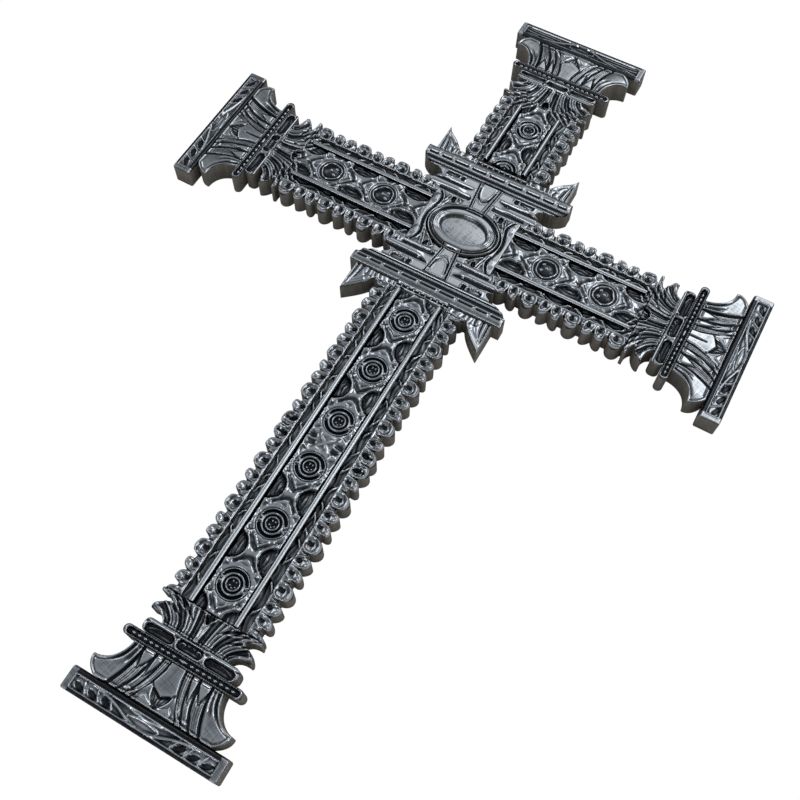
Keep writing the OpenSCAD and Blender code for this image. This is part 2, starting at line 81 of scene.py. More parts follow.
GROUND = FACE + 1.6    # ground of the arm panels
CHANNEL = FACE - 0.6   # floor of the channels beside the rails
SOFTER = 0.6           # share of the tools' full height that is left after polishing
RECESSES = ((0.7, 1.3), (2.2, 0.6))  # reach in millimetres and weight of each measure of how sunk a point is
SLIVER = 0.02          # least share of a grid step that trimming leaves
FINE = 0.45            # grid step of the small castings, in parts
COARSE = 0.6           # grid step of the long panels, in parts

# ---- shaping


def smooth(a, b, x):
    """0 before a, 1 after b, and a soft step between them."""
    t = np.clip((x - a) / (b - a), 0, 1)
    return t * t * (3 - 2 * t)


def within(distance, edge):
    """1 inside a distance field, 0 outside it, with a soft edge."""
    return smooth(edge, -edge, distance)


def hump(q, half):
    """1 where q is 0, falling to 0 at half on either side."""
    return np.clip(1 - (q / half) ** 2, 0, 1)


def box_field(x, y, cx, cy, hx, hy, r=0):
    """Signed distance to a box with rounded corners."""
    qx, qy = np.abs(x - cx) - hx + r, np.abs(y - cy) - hy + r
    return np.hypot(np.maximum(qx, 0), np.maximum(qy, 0)) + np.minimum(np.maximum(qx, qy), 0) - r


def oval_field(x, y, cx, cy, a, b):
    """Signed distance to an oval, near enough for rims and recesses."""
    px, py = (x - cx) / a, (y - cy) / b
    rho = np.hypot(px, py) + 1e-9
    return (rho - 1) * rho / (np.hypot(px / a, py / b) + 1e-9)


def bezier(points, count=12):
    """Points along a smooth curve: a Bezier curve with any number of control points."""
    t = np.linspace(0, 1, count)[:, None]
    rows = [np.array(points, float)[None, i] for i in range(len(points))]
    while len(rows) > 1:
        rows = [a * (1 - t) + b * t for a, b in zip(rows, rows[1:])]
    return rows[0]


def polygon_field(x, y, points):
    """Signed distance to a closed polygon."""
    pts = np.array(points, float)
    best = np.full(x.shape, 1e9)
    odd = np.zeros(x.shape, bool)
    for (x0, y0), (x1, y1) in zip(pts, np.roll(pts, -1, 0)):
        dx, dy = x1 - x0, y1 - y0
        t = np.clip(((x - x0) * dx + (y - y0) * dy) / (dx * dx + dy * dy + 1e-12), 0, 1)
        best = np.minimum(best, (x - x0 - t * dx) ** 2 + (y - y0 - t * dy) ** 2)
        if dy:
            odd ^= ((y0 > y) != (y1 > y)) & (x < (y - y0) * dx / dy + x0)
    return np.where(odd, -1, 1) * np.sqrt(best)


def outline(x, y, *runs):
    """Signed distance to a closed outline of straight runs and, given as (points, count), smooth curves."""
    runs = [bezier(*run) if isinstance(run, tuple) else run for run in runs]
    return polygon_field(x, y, np.concatenate(runs))


def blurred(z, radius):
    """Box blur of a height map, radius in cells."""
    for axis in (0, 1):
        pad = [(radius + 1, radius) if a == axis else (0, 0) for a in (0, 1)]
        total = np.cumsum(np.pad(z, pad, mode="edge"), axis)
        n = 2 * radius + 1
        z = (np.take(total, range(n, total.shape[axis]), axis)
             - np.take(total, range(total.shape[axis] - n), axis)) / n
    return z


def put(name, data):
    """Puts a new object with the given data into the scene."""
    obj = bpy.data.objects.new(name, data)
    bpy.context.scene.collection.objects.link(obj)
    return obj


class Relief:
    """A height map over one casting, with the carver's tools that shape it."""

    def __init__(self, x0, x1, y0, y1, step, end=None, mirror=True):
        """The grid reaches past the given box. With end, y counts inwards from there, as w does."""
        if end is not None:
            y0, y1 = end - y1, end - y0
        nx, ny = (int(math.ceil((b - a) / step)) + 3 for a, b in ((x0, x1), (y0, y1)))
        self.step, self.end = step, end
        xs = (x0 + x1) / 2 + (np.arange(nx) - (nx - 1) / 2) * step
        ys = (y0 + y1) / 2 + (np.arange(ny) - (ny - 1) / 2) * step
        self.rx, self.v = np.meshgrid(xs, ys)
        self.x = np.abs(self.rx) if mirror else self.rx
        self.y = self.v if end is None else end - self.v
        self.base = np.full(self.x.shape, FACE, float)
        # dark is how much darker the metal is coloured: patina in hollows, painted shade in some places and,
        # where negative, polish and painted highlights
        self.up, self.down, self.dark = (np.zeros(self.x.shape) for _ in range(3))

    def _near(self, points, reach):
        """The cells that a stroke can touch."""
        lo, hi = np.min(points, 0) - reach, np.max(points, 0) + reach
        keep = (self.x >= lo[0]) & (self.x <= hi[0]) & (self.y >= lo[1]) & (self.y <= hi[1])
        return np.nonzero(keep)

    def stroke(self, points, half, rise, taper=(0.3, 1, 0.3), soft=1.0, at=0, flip=1):
        """A tapered ridge along a smooth curve; a negative rise cuts a groove.

        Each y of the points is multiplied by flip and counts from at.
        """
        line = bezier([(px, at + flip * py) for px, py in points])
        cells = self._near(line, half * max(taper) + self.step)
        if not len(cells[0]):
            return
        x, y = self.x[cells], self.y[cells]
        best = np.full(x.shape, 1e9)
        where = np.zeros(x.shape)
        n = len(line) - 1
        for i, (p, q) in enumerate(zip(line, line[1:])):
            d = q - p
            t = np.clip(((x - p[0]) * d[0] + (y - p[1]) * d[1]) / (d @ d + 1e-12), 0, 1)
            dist = (x - p[0] - t * d[0]) ** 2 + (y - p[1] - t * d[1]) ** 2
            where = np.where(dist < best, (i + t) / n, where)
            best = np.minimum(best, dist)
        width = half * np.interp(where, np.linspace(0, 1, len(taper)), taper)
        q = np.clip(1 - best / (width ** 2 + 1e-9), 0, 1) ** (0.5 * soft)
        level = np.abs(rise) * q * np.minimum(1, 0.45 + 0.55 * width / half)
        layer = self.up if rise > 0 else self.down
        layer[cells] = np.maximum(layer[cells], level)

    def _raise(self, q, rise, soft, share=1.0):
        """Adds a rounded shape, whose section is q, to what rises or to what is sunk."""
        layer = self.up if rise > 0 else self.down
        np.maximum(layer, np.abs(rise) * q ** (0.5 * soft) * share, out=layer)

    def dome(self, cx, cy, a, b, rise, turn=0.0, soft=1.0):
        """A rounded swelling on an oval; a negative rise sinks a bowl."""
        c, s = math.cos(math.radians(turn)), math.sin(math.radians(turn))
        dx, dy = self.x - cx, self.y - cy
        q = np.clip(1 - ((dx * c + dy * s) / a) ** 2 - ((dy * c - dx * s) / b) ** 2, 0, 1)
        self._raise(q, rise, soft)

    def ring(self, distance, half, rise, soft=1.0, share=1.0):
        """A rounded ridge, or a groove, along the zero line of a distance field, where share lets it show."""
        self._raise(hump(distance, half), rise, soft, share)

    def step_to(self, distance, change, soft=0.8):
        """Raises or sinks all that lies inside a distance field, with a soft edge."""
        self.base = self.base + change * within(distance, soft)

    def recess(self, distance, depth, soft, dark, edge):
        """Sinks all that lies inside a distance field and darkens its floor."""
        self.step_to(distance, -depth, soft)
        self.dark += dark * within(distance, edge)

    def cover(self, share, level):
        """Lays a plain surface over what is carved so far."""
        bare = 1 - share
        self.base = self.base * bare + level * share
        self.up, self.down, self.dark = self.up * bare, self.down * bare, self.dark * bare

    def height(self, share=1.0):
        return self.base + share * (self.up - self.down)

    def mirrored(self, field, side):
        """Flips the whole relief in x when side is -1, and returns the outline flipped with it."""
        if side < 0:
            self.rx, self.v, self.base, self.up, self.down, self.dark, field = (
                m[:, ::-1] for m in (-self.rx, self.v, self.base, self.up, self.down, self.dark, field))
        return field


# ---- meshing

# Corners a b c d run round a cell from its lower left; B R T L are the crossings on its lower, right, upper
# and left sides. Each polygon is followed by the two crossings that its cut edge joins.
CUTS = {
    1: [("aBL", "BL")], 2: [("BbR", "RB")], 3: [("abRL", "RL")], 4: [("RcT", "TR")],
    5: [("aBL", "BL"), ("RcT", "TR")], 6: [("BbcT", "TB")], 7: [("abcTL", "TL")], 8: [("LTd", "LT")],
    9: [("aBTd", "BT")], 10: [("BbR", "RB"), ("LTd", "LT")], 11: [("abRTd", "RT")], 12: [("LRcd", "LR")],
    13: [("aBRcd", "BR")], 14: [("BbcdL", "LB")],
}


def cut_grid(field, maps):
    """Keeps the part of a grid where field < 0: the maps' values at its points, its faces, its rim edges."""
    field = np.pad(field[1:-1, 1:-1], 1, constant_values=1.0)
    inside = field < 0
    ids = np.full(field.shape, -1)
    count = int(inside.sum())
    ids[inside] = np.arange(count)
    values = [[m[inside]] for m in maps]
    tables = []
    for a, b in (((slice(None), slice(None, -1)), (slice(None), slice(1, None))),
                 ((slice(None, -1),), (slice(1, None),))):
        cut = inside[a] != inside[b]
        t = np.clip((field[a] / (field[a] - field[b] + 1e-12))[cut], SLIVER, 1 - SLIVER)
        table = np.full(cut.shape, -1)
        table[cut] = count + np.arange(int(cut.sum()))
        count += int(cut.sum())
        tables.append(table)
        for store, m in zip(values, maps):
            store.append(m[a][cut] * (1 - t) + m[b][cut] * t)
    code = inside[:-1, :-1] + 2 * inside[:-1, 1:] + 4 * inside[1:, 1:] + 8 * inside[1:, :-1]
    j, i = np.nonzero(code == 15)
    quads = np.stack([ids[j, i], ids[j, i + 1], ids[j + 1, i + 1], ids[j + 1, i]], 1).tolist()
    across, along = tables
    rim = []
    for j, i in np.argwhere((code > 0) & (code < 15)):
        spot = {"a": ids[j, i], "b": ids[j, i + 1], "c": ids[j + 1, i + 1], "d": ids[j + 1, i],
                "B": across[j, i], "T": across[j + 1, i], "L": along[j, i], "R": along[j, i + 1]}
        for shape, edge in CUTS[int(code[j, i])]:
            quads.append([int(spot[k]) for k in shape])
            rim.append((int(spot[edge[0]]), int(spot[edge[1]])))
    return [np.concatenate(v) for v in values], quads, rim


def rim_loops(rim):
    """Chains rim edges into closed loops."""
    after = dict(rim)
    loops = []
    while after:
        start, at = after.popitem()
        loop = [start]
        while at != start:
            loop.append(at)
            at = after.pop(at)
        loops.append(loop)
    return loops


def casting(relief, field, node, turn, materials, rounding, back=None, bottom=BACK):
    """Makes a closed solid: the relief trimmed to its outline, side walls, and a flat or a carved back."""
    gy, gx = np.gradient(field, relief.step)
    depth = np.clip(-field / (np.hypot(gx, gy) + 1e-3), 0, None) * PART / MM
    ramp = np.clip(1 - depth / rounding, 0, 1)
    fall = rounding * (1 - np.sqrt(1 - ramp ** 2))
    z = blurred(relief.height(), 1) - fall
    cell = relief.step * PART / MM
    # Tone measure: how sunk each point is, for patina in hollows and polish where it stands proud, plus the
    # dark values, which also hold painted shade and painted highlights
    cavity = -relief.dark
    for reach, share in RECESSES:
        cells = max(1, round(reach / cell))
        cavity = cavity + share * (z - blurred(blurred(z, cells), cells))
    z = blurred(blurred(relief.height(SOFTER), 1), 1) - fall
    maps = [relief.rx, relief.v, z, cavity]
    if back is not None:
        maps.append(back)
    (x, v, z, cavity, *lower), faces, rim = cut_grid(field, maps)
    n = len(x)
    top_count = len(faces)
    points = [np.stack([x * PART, v * PART, z * MM], 1)]
    patina_and_painted_light_lists = [cavity]
    if back is None:
        edge_ids = sorted({p for pair in rim for p in pair})
        below = {p: n + k for k, p in enumerate(edge_ids)}
        floor_level = np.full(len(edge_ids), bottom * MM)
        points.append(np.stack([x[edge_ids] * PART, v[edge_ids] * PART, floor_level], 1))
        patina_and_painted_light_lists.append(np.zeros(len(edge_ids)))
        caps = [[below[p] for p in loop] for loop in rim_loops([(q, p) for p, q in rim])]
    else:
        below = {p: n + p for p in range(n)}
        points.append(np.stack([x * PART, v * PART, lower[0] * MM], 1))
        patina_and_painted_light_lists.append(np.zeros(n))
        caps = [[n + p for p in reversed(face)] for face in faces]
    walls = [[p, below[p], below[q], q] for p, q in rim]
    mesh = bpy.data.meshes.new(node + "_cast")
    mesh.from_pydata(np.concatenate(points).tolist(), [], faces + walls + caps)
    mesh.attributes.new("cavity", "FLOAT", "POINT").data.foreach_set("value", np.concatenate(patina_and_painted_light_lists))
    mesh.polygons.foreach_set("use_smooth", [True] * len(mesh.polygons))
    marks = [0] * top_count + [1] * (len(walls) + len(caps))
    mesh.polygons.foreach_set("material_index", marks)
    ends = np.empty(len(mesh.edges) * 2, int)
    mesh.edges.foreach_get("vertices", ends)
    ends = np.sort(ends.reshape(-1, 2), 1)
    rims = np.sort(np.array(rim), 1)
    total = len(mesh.vertices)
    sharp = np.isin(ends[:, 0] * total + ends[:, 1], rims[:, 0] * total + rims[:, 1])
    mesh.attributes.new("sharp_edge", "BOOLEAN", "EDGE").data.foreach_set("value", sharp)
    mesh.transform(Matrix.Translation(CROSSING) @ Matrix.Rotation(math.radians(turn), 4, "Z"))
    for material in materials:
        mesh.materials.append(material)
    obj = put(mesh.name, mesh)
    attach(obj, "cross")
    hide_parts(node)


# ---- materials


class Nodes:
    """Short hand for building the nodes of a material or of the world."""

    def __init__(self, owner):
        owner.use_nodes = True
        self.owner, self.tree = owner, owner.node_tree

    def feed(self, socket, value):
        """Links another node's output to a socket, or sets the socket's own value."""
        if hasattr(value, "is_linked"):
            self.tree.links.new(value, socket)
        else:
            socket.default_value = value

    def add(self, kind, *values, **named):
        """A new node with its first inputs, and the named ones, fed."""
        node = self.tree.nodes.new("ShaderNode" + kind)
        for key, value in [*enumerate(values), *named.items()]:
            self.feed(node.inputs[key], value)
        return node

    def by_camera_ray(self, surround, seen, share=1.0):
        """Shows one shader to the camera's own rays, by the given share, and the other to all the rest."""
        path = self.add("LightPath")
        mix = self.add("MixShader")
        weight = path.outputs["Is Camera Ray"]
        if share < 1:
            weight = self.math("MULTIPLY", weight, share)
        for socket, value in zip(mix.inputs, (weight, surround.outputs[0], seen.outputs[0])):
            self.feed(socket, value)
        output = "Material Output" if "Material Output" in self.tree.nodes else "World Output"
        self.feed(self.tree.nodes[output].inputs["Surface"], mix.outputs[0])

    def math(self, operation, a, b=0.0):
        node = self.add("Math", a, b)
        node.operation = operation
        return node.outputs[0]

    def ramp(self, factor, *stops):
        """Colours between places from 0 to 1."""
        node = self.add("ValToRGB", factor)
        elements = node.color_ramp.elements
        while len(elements) < len(stops):
            elements.new(0.5)
        for element, (place, colour) in zip(elements, stops):
            element.position = place
            element.color = (*colour, 1)
        return node.outputs[0]

    def noise(self, scale, turn=0.0, detail=2.0, rough=0.5):
        """Noise on object coordinates, which are turned about Z and then scaled."""
        node = self.add("TexNoise", Scale=1.0, Detail=detail, Roughness=rough)
        coords = self.add("TexCoord")
        mapping = self.add("Mapping")
        mapping.vector_type = "TEXTURE"
        self.feed(mapping.inputs["Rotation"], (0, 0, math.radians(turn)))
        self.feed(mapping.inputs["Scale"], [1 / k for k in scale])
        self.feed(mapping.inputs["Vector"], coords.outputs["Object"])
        self.feed(node.inputs["Vector"], mapping.outputs[0])
        return node.outputs["Fac"]

    def shade(self, **inputs):
        """Feeds inputs of the surface shader; an underscore in a name stands for a space."""
        for key, value in inputs.items():
            self.feed(self.tree.nodes["Principled BSDF"].inputs[key.replace("_", " ")], value)

    def bump(self, height, strength, distance):
        node = self.add("Bump", Strength=strength, Distance=distance, Height=height)
        self.shade(Normal=node.outputs[0])


TONES = ((0.0, (0.030, 0.033, 0.038)), (0.35, (0.095, 0.102, 0.112)), (0.7, (0.33, 0.355, 0.38)),
         (1.0, (0.68, 0.73, 0.78)))


def silver(name, low=-1.3, high=0.1, scratches=0.2, rough=0.17, hatch=0.45):
    """Antique silver: polished where the relief stands proud, blue-black in its recesses, finely hatched.

    low and high are the values of the tone measure, patina in the hollows with painted shade and highlights,
    at which the metal is darkest and brightest.
    """
    m = Nodes(bpy.data.materials.new(name))
    cavity = m.add("Attribute")
    cavity.attribute_name = "cavity"
    crossed = m.math("ADD", *(m.noise((1900, 100, 200), turn=turn, detail=1) for turn in (-14, 74)))
    crossed = m.math("MULTIPLY", m.math("SUBTRACT", crossed, 1.0), hatch)
    cloud = m.noise((200, 200, 200), detail=3)
    soil = m.math("MULTIPLY", m.math("SUBTRACT", cloud, 0.5), 0.2)
    spread = m.math("ADD", cavity.outputs["Fac"], m.math("ADD", crossed, soil))
    polish_and_painted_light = m.add("MapRange", spread, low, high).outputs[0]
    m.shade(Base_Color=m.ramp(polish_and_painted_light, *TONES))
    brushed = m.math("ADD", *(m.noise((1500, 70, 200), turn=turn, detail=1) for turn in (10, 97)))
    brushed = m.math("MULTIPLY", brushed, 0.5)
    gloss = m.math("ADD", m.math("MULTIPLY", brushed, 0.1), rough - 0.05)
    tarnish = m.math("MULTIPLY", m.math("SUBTRACT", 1.0, polish_and_painted_light), 0.1)
    m.shade(Roughness=m.math("ADD", gloss, tarnish), Metallic=1.0)
    m.bump(brushed, scratches, 0.00008)
    return m.owner


def side_metal():
    """Sawn and darkened side walls: warm grey, matt, with faint marks down the depth."""
    m = Nodes(bpy.data.materials.new("side_metal"))
    marks = m.noise((420, 420, 60), detail=3, rough=0.6)
    m.shade(Base_Color=m.ramp(marks, (0.3, (0.245, 0.222, 0.192)), (0.7, (0.375, 0.345, 0.30))), Metallic=0.4)
    m.shade(Roughness=m.math("ADD", m.math("MULTIPLY", marks, 0.2), 0.5))
    m.bump(m.noise((900, 900, 120), detail=2), 0.35, 0.0001)
    return m.owner


def plain_material(name, dark, light, metallic, rough, grain=(300, 300, 300)):
    """Fine-grained metal or wood, for what shows on the back."""
    m = Nodes(bpy.data.materials.new(name))
    marks = m.noise(grain, detail=3, rough=0.6)
    m.shade(Base_Color=m.ramp(marks, (0.3, dark), (0.7, light)), Metallic=metallic)
    m.shade(Roughness=m.math("ADD", m.math("MULTIPLY", marks, 0.18), rough - 0.09))
    m.bump(marks, 0.2, 0.00006)
    return m.owner


# ---- the four arms

class Arm:
    """One arm's turn and stations, in parts: v outwards from the crossing, w inwards from the arm's end."""

    def __init__(self, name, turn, axis, sign):
        self.name, self.turn = name, turn

        def outwards(node, face):
            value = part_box(node)[face][axis] - CROSSING[axis]
            return sign * value / PART

        near, far = (0, 1) if sign > 0 else (1, 0)
        self.end = outwards(name + "_abacus", far)
        self.abacus, self.bell, self.bead, self.scroll, self.neck = (
            self.end - outwards(f"{name}_{part}", near)
            for part in ("abacus", "bell", "bead_ring", "scroll_ring", "neck"))
        self.start = outwards(name + "_panel", near)
        self.stop = outwards(name + "_panel", far)
        self.side = name in ("left", "right")
        self.socket = name == "lower"


ARMS = [Arm("lower", 180, 1, -1), Arm("upper", 0, 1, 1), Arm("left", 90, 0, -1), Arm("right", -90, 0, 1)]
GAP = 0.15          # play between neighbouring castings, in parts
FACES = [silver("brushed_silver", high=0.35, hatch=0.9), side_metal()]
# Dark metal for the walls under the rails and round the discs: painted shade where those walls fall in shadow
PAINTED_SHADE = silver("painted_shade_silver", low=-3.0, high=6.0, scratches=0.05, rough=0.2, hatch=0.1)
RAIL = [silver("rail_silver", low=-1.4, high=-0.3, scratches=0.02, rough=0.26, hatch=0.05), PAINTED_SHADE]
GLOSS = [silver("polished_silver", low=-1.4, high=0.2, scratches=0.1, rough=0.16, hatch=0.2), FACES[1]]


def socket_back(relief):
    """Level of a foot casting's back: cut out for the staff socket, which has a narrower nose."""
    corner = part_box("staff_socket")[1]
    half, deep = corner[0] / PART + 0.5, corner[2] / MM + 0.2
    nose_half, nose_end = 9.2, 9.7       # half width and inner end of the nose's channel, in parts
    nose_level, nose_radius = 7.2, 5.4   # middle and radius of its round, in millimetres
    x, w = relief.x, relief.y
    part_mm = 0.6
    round_top = nose_level + np.sqrt(np.clip(nose_radius ** 2 - (x * part_mm) ** 2, 0, None))
    level = np.where(x < half, deep, BACK)
    return np.where(w < nose_end, np.where(x < nose_half, round_top, BACK), level)


def abacus(arm):
    """End plate: a dark frame round a sunk frieze, with an eye under a waved band.

    Beside the eye lie slanting leaf cells, or on the upper arm two waved bands.
    """
    r = Relief(-88.5, 88.5, 0, arm.abacus, FINE, end=arm.end)
    x, w = r.x, r.y
    half = arm.abacus / 2
    field = box_field(x, w, 0, half, 88.4, half - GAP, 2.2)
    frieze = box_field(x, w, 0, 11.2, 80.5, 6.2, 0.8)
    r.dark += 0.2 + 1.3 * smooth(82, 80, x) * smooth(0.6, 1.6, frieze)
    r.step_to(frieze, -1.5, 0.7)
    r.dark += (0.3 if arm.name == "upper" else -0.5) * within(frieze, 0.5)
    r.ring(frieze - 0.5, 0.8, 0.8)
    r.dark -= 0.9 * hump(frieze - 0.5, 0.8)
    r.step_to(box_field(x, w, 0, arm.abacus, 90, 1.6), -0.7, 0.6)
    r.stroke([(66, 16.4), (52, 16.2), (40, 16.0), (29, 13.4), (22, 8.6), (14, 4.6), (6, 5.2)], 1.7, 2.6,
             (0.3, 1, 1, 0.8))
    r.stroke([(40, 17.4), (24, 17.6), (12, 15.4), (0, 15.2)], 1.1, 2.0, (0.5, 1, 1))
    r.ring(oval_field(x, w, 0, 9.6, 17, 3.8), 0.9, 1.0, share=x < 18)
    r.dome(0, 8.8, 9, 1.7, 0.5)
    if arm.name == "upper":
        # Painted shade: the upper end plate's outer band is painted darker
        r.dark += 1.1 * smooth(4.2, 2.6, w) * smooth(84, 82, x)
        for a, b in ((8.2, 6.0), (12.4, 9.8)):
            r.stroke([(24, a), (40, b), (60, a + 0.8), (79, b)], 1.1, 1.6, (0.5, 1, 0.8))
        r.stroke([(50, 15.6), (66, 13.2), (79, 15)], 1.1, 1.5)
    else:
        for cx in (34, 49.5, 65):
            r.stroke([(cx - 1.5, 4.6), (cx, 8), (cx + 4, 11), (cx + 5, 17)], 1.0, 1.6, (0.7, 1, 0.5))
            leaf = oval_field(x - cx - 8 - 0.9 * (w - 9), w, 0, 9.2, 4.6, 3.4)
            r.recess(leaf, 0.9, 1.0, 0.8, 0.8)
    casting_of(arm, "abacus", r, field, rounding=0.9)


def casting_of(arm, part, relief, field, rounding=0.45):
    """Makes one capital casting, with its back cut out for the socket on the foot."""
    back = socket_back(relief) if arm.socket else None
    casting(relief, field, f"{arm.name}_{part}", arm.turn, FACES, rounding, back)


def column(points, w):
    """x along a smooth curve, looked up at depth w."""
    line = bezier(points, 24)
    order = np.argsort(line[:, 1])
    return np.interp(w, line[order, 1], line[order, 0])


def bell(arm):
    """Acanthus bell: a shield leaf with a turned-over tip, and flutes that sweep out to the corner leaves."""
    top, foot = arm.bell, arm.abacus
    r = Relief(-80, 80, foot, top, FINE, end=arm.end)
    x, w = r.x, r.y
    tip = 42.0
    field = outline(x, w, ([(52, top), (52.5, 60), (58, tip + 1), (78.6, tip)], 18),
                    ([(79, tip - 1.5), (79, 33), (72, 27), (67, foot + 0.1)], 14),
                    [(-9, foot + 0.1), (-9, top)])
    # Flow lines from the ring (left end of each) down to the end plate
    lines = [
        column([(9, top + 1), (9.5, 60), (12.5, 52), (14.5, 44), (20, 34), (26, foot - 1)], w),
        column([(16.5, top + 1), (17, 60), (19, 48), (24, 36), (33, foot - 1)], w),
        column([(25, top + 1), (26, 60), (28, 46), (33, 35), (42, foot - 1)], w),
        column([(39.5, top + 1), (40, 58), (42, 46), (46, 36), (53, foot - 1)], w),
        column([(52, top + 1), (52.5, 60), (58, tip + 2), (80, tip), (86, 34), (90, foot - 1)], w),
    ]
    along = np.clip((top - w) / (top - foot), 0, 1)
    s = [np.clip((x - a) / (b - a + 1e-6), 0, 1) for a, b in zip(lines, lines[1:])]
    inside = [(x >= a) & (x < b) for a, b in zip(lines, lines[1:])]
    r.base = r.base + 0.4 * np.sin(np.pi * along)
    # Fine flutes beside the shield
    r.base = np.where(inside[0], r.base + 1.5 * np.abs(np.sin(np.pi * 3 * s[0])) - 1.2, r.base)
    r.dark += np.where(inside[0], 0.35, 0)
    # A smooth strip that runs out to a point, over a striped leaf
    for k, (end, width) in enumerate(((0.52, 0.86), (0.42, 0.9)), 1):
        middle = np.abs(s[k] - 0.5) * 2
        rim = middle - width * (1 - (along / end) ** 1.7)
        strip = within(rim, 0.12)
        stripes = 0.95 * np.abs(np.sin(np.pi * (3.6 + k) * (s[k] + 0.25 * along))) - 0.9
        carved = r.base + strip * (0.7 - 0.35 * middle ** 2) + (1 - strip) * stripes
        r.base = np.where(inside[k], carved, r.base)
        r.dark += np.where(inside[k], 0.38 * (1 - strip) - 0.1 * strip, 0)
        r.ring(rim * 6 - 0.6, 1.2, -0.8, share=inside[k])
    outer = 1.2 * np.sin(np.pi * np.clip(s[3] * 0.9 + 0.05, 0, 1)) ** 0.5 - 0.3
    ribs = 0.8 * np.sin(2 * np.pi * 2.6 * s[3]) * smooth(0.62, 0.3, along)
    r.base = np.where(inside[3], r.base + outer + ribs, r.base)
    r.dark += np.where(inside[3], 0.3 * smooth(0.6, 0.3, along) - 0.15 * smooth(0.6, 0.8, along), 0)
    for line, depth, half in zip(lines[:4], (1.3, 1.4, 1.7, 1.9), (1.1, 1.3, 1.7, 2.0)):
        r.ring(x - line, half, -depth)
        r.dark += 0.55 * hump(x - line, half)
    # Folds where the broad leaves turn over at their lower ends
    r.stroke([(24, foot + 2), (30, 33), (36, foot + 9), (42, foot + 1)], 1.4, 1.2)
    r.stroke([(16, 20), (18, 12), (23, 5), (33, 1)], 1.7, 1.6, (0.3, 1, 0.5), at=foot)
    # Rim of the corner leaf along the outline
    r.ring(field + 1.2, 1.0, 0.7)
    r.ring(field + 3.2, 0.9, -0.6)
    # Shield leaf over the middle
    shield = outline(x, w, [(-9, 76.5), (7.6, top + 6), (8.6, 60), (12.4, 47), (9.5, 43.5), (0, foot + 14),
                            (-9, 47)])
    bract = outline(x, w, ([(-4, 50), (9, 49), (15.5, 47), (14.5, 36), (0, foot + 0.5)], 14),
                    [(-6, foot + 0.5)])
    r.step_to(bract + 0.2, -1.3, 0.8)
    r.dark += 0.45 * smooth(0.4, -0.8, bract)
    r.ring(bract + 0.8, 1.2, 1.8)
    r.stroke([(0, 3), (0, 13)], 0.9, 1.2, at=foot)
    for k in (3.6, 7.2):
        r.stroke([(1, 4), (k, 10), (k + 2, 19)], 0.7, 1.0, at=foot)
    plate = outline(x, w, [(-5, foot), (-5, foot + 1.5), (2.5, foot + 3.2), (14, foot + 11), (17, foot + 7),
                           (20, foot)])
    r.step_to(plate + 0.6, 0.8, 0.6)
    r.dark -= 0.5 * within(plate, 0.5)
    lift = within(shield, 0.7)
    bow = 0.35 * hump(x, 12)
    r.cover(lift, FACE + 0.9 + bow)
    r.ring(shield, 0.9, 0.5)
    r.ring(shield - 1.3, 0.9, -0.9)
    if arm.side:
        r.stroke([(0, top + 4), (0, 50)], 1.2, -1.5, (1, 1, 0.6))
    casting_of(arm, "bell", r, field)


def bead_ring(arm):
    """Round dark bar across the arm, with a row of bright dashes in a groove between corded rims."""
    middle, half = (arm.bell + arm.bead) / 2, (arm.bead - arm.bell) / 2 - GAP
    r = Relief(-68.5, 68.5, arm.bell, arm.bead, 0.4, end=arm.end)
    x, w = r.x, r.y
    field = box_field(x, w, 0, middle, 68.3, half, half)
    r.dark += 0.8 + 0.7 * smooth(64, 60, x) * smooth(2.6, 3.6, np.abs(w - middle))
    r.base += 1.4
    r.step_to(box_field(x, w, 0, middle, 64, 2.6, 2.6), -1.7, 0.8)
    rim = box_field(x, w, 0, middle, 65.6, 4.2, 4.2)
    r.ring(rim, 0.9, 0.5)
    r.dark -= 0.9 * hump(rim, 1.2) * smooth(61, 64.5, x)
    r.base += 0.25 * np.cos(2 * np.pi * (x + 0.6 * w) / 2.8) * smooth(2.4, 3.2, np.abs(w - middle))
    beads = [(0, 5.2)] + [(10.2 + 6.7 * k, 2.5) for k in range(8)]
    for cx, a in beads:
        r.dome(cx, middle, a, 1.7, 2.1, soft=0.5)
        r.dark -= 1.1 * np.clip(1.2 - ((x - cx) / a) ** 2 - ((w - middle) / 1.7) ** 2, 0, 1)
    casting_of(arm, "bead_ring", r, field)


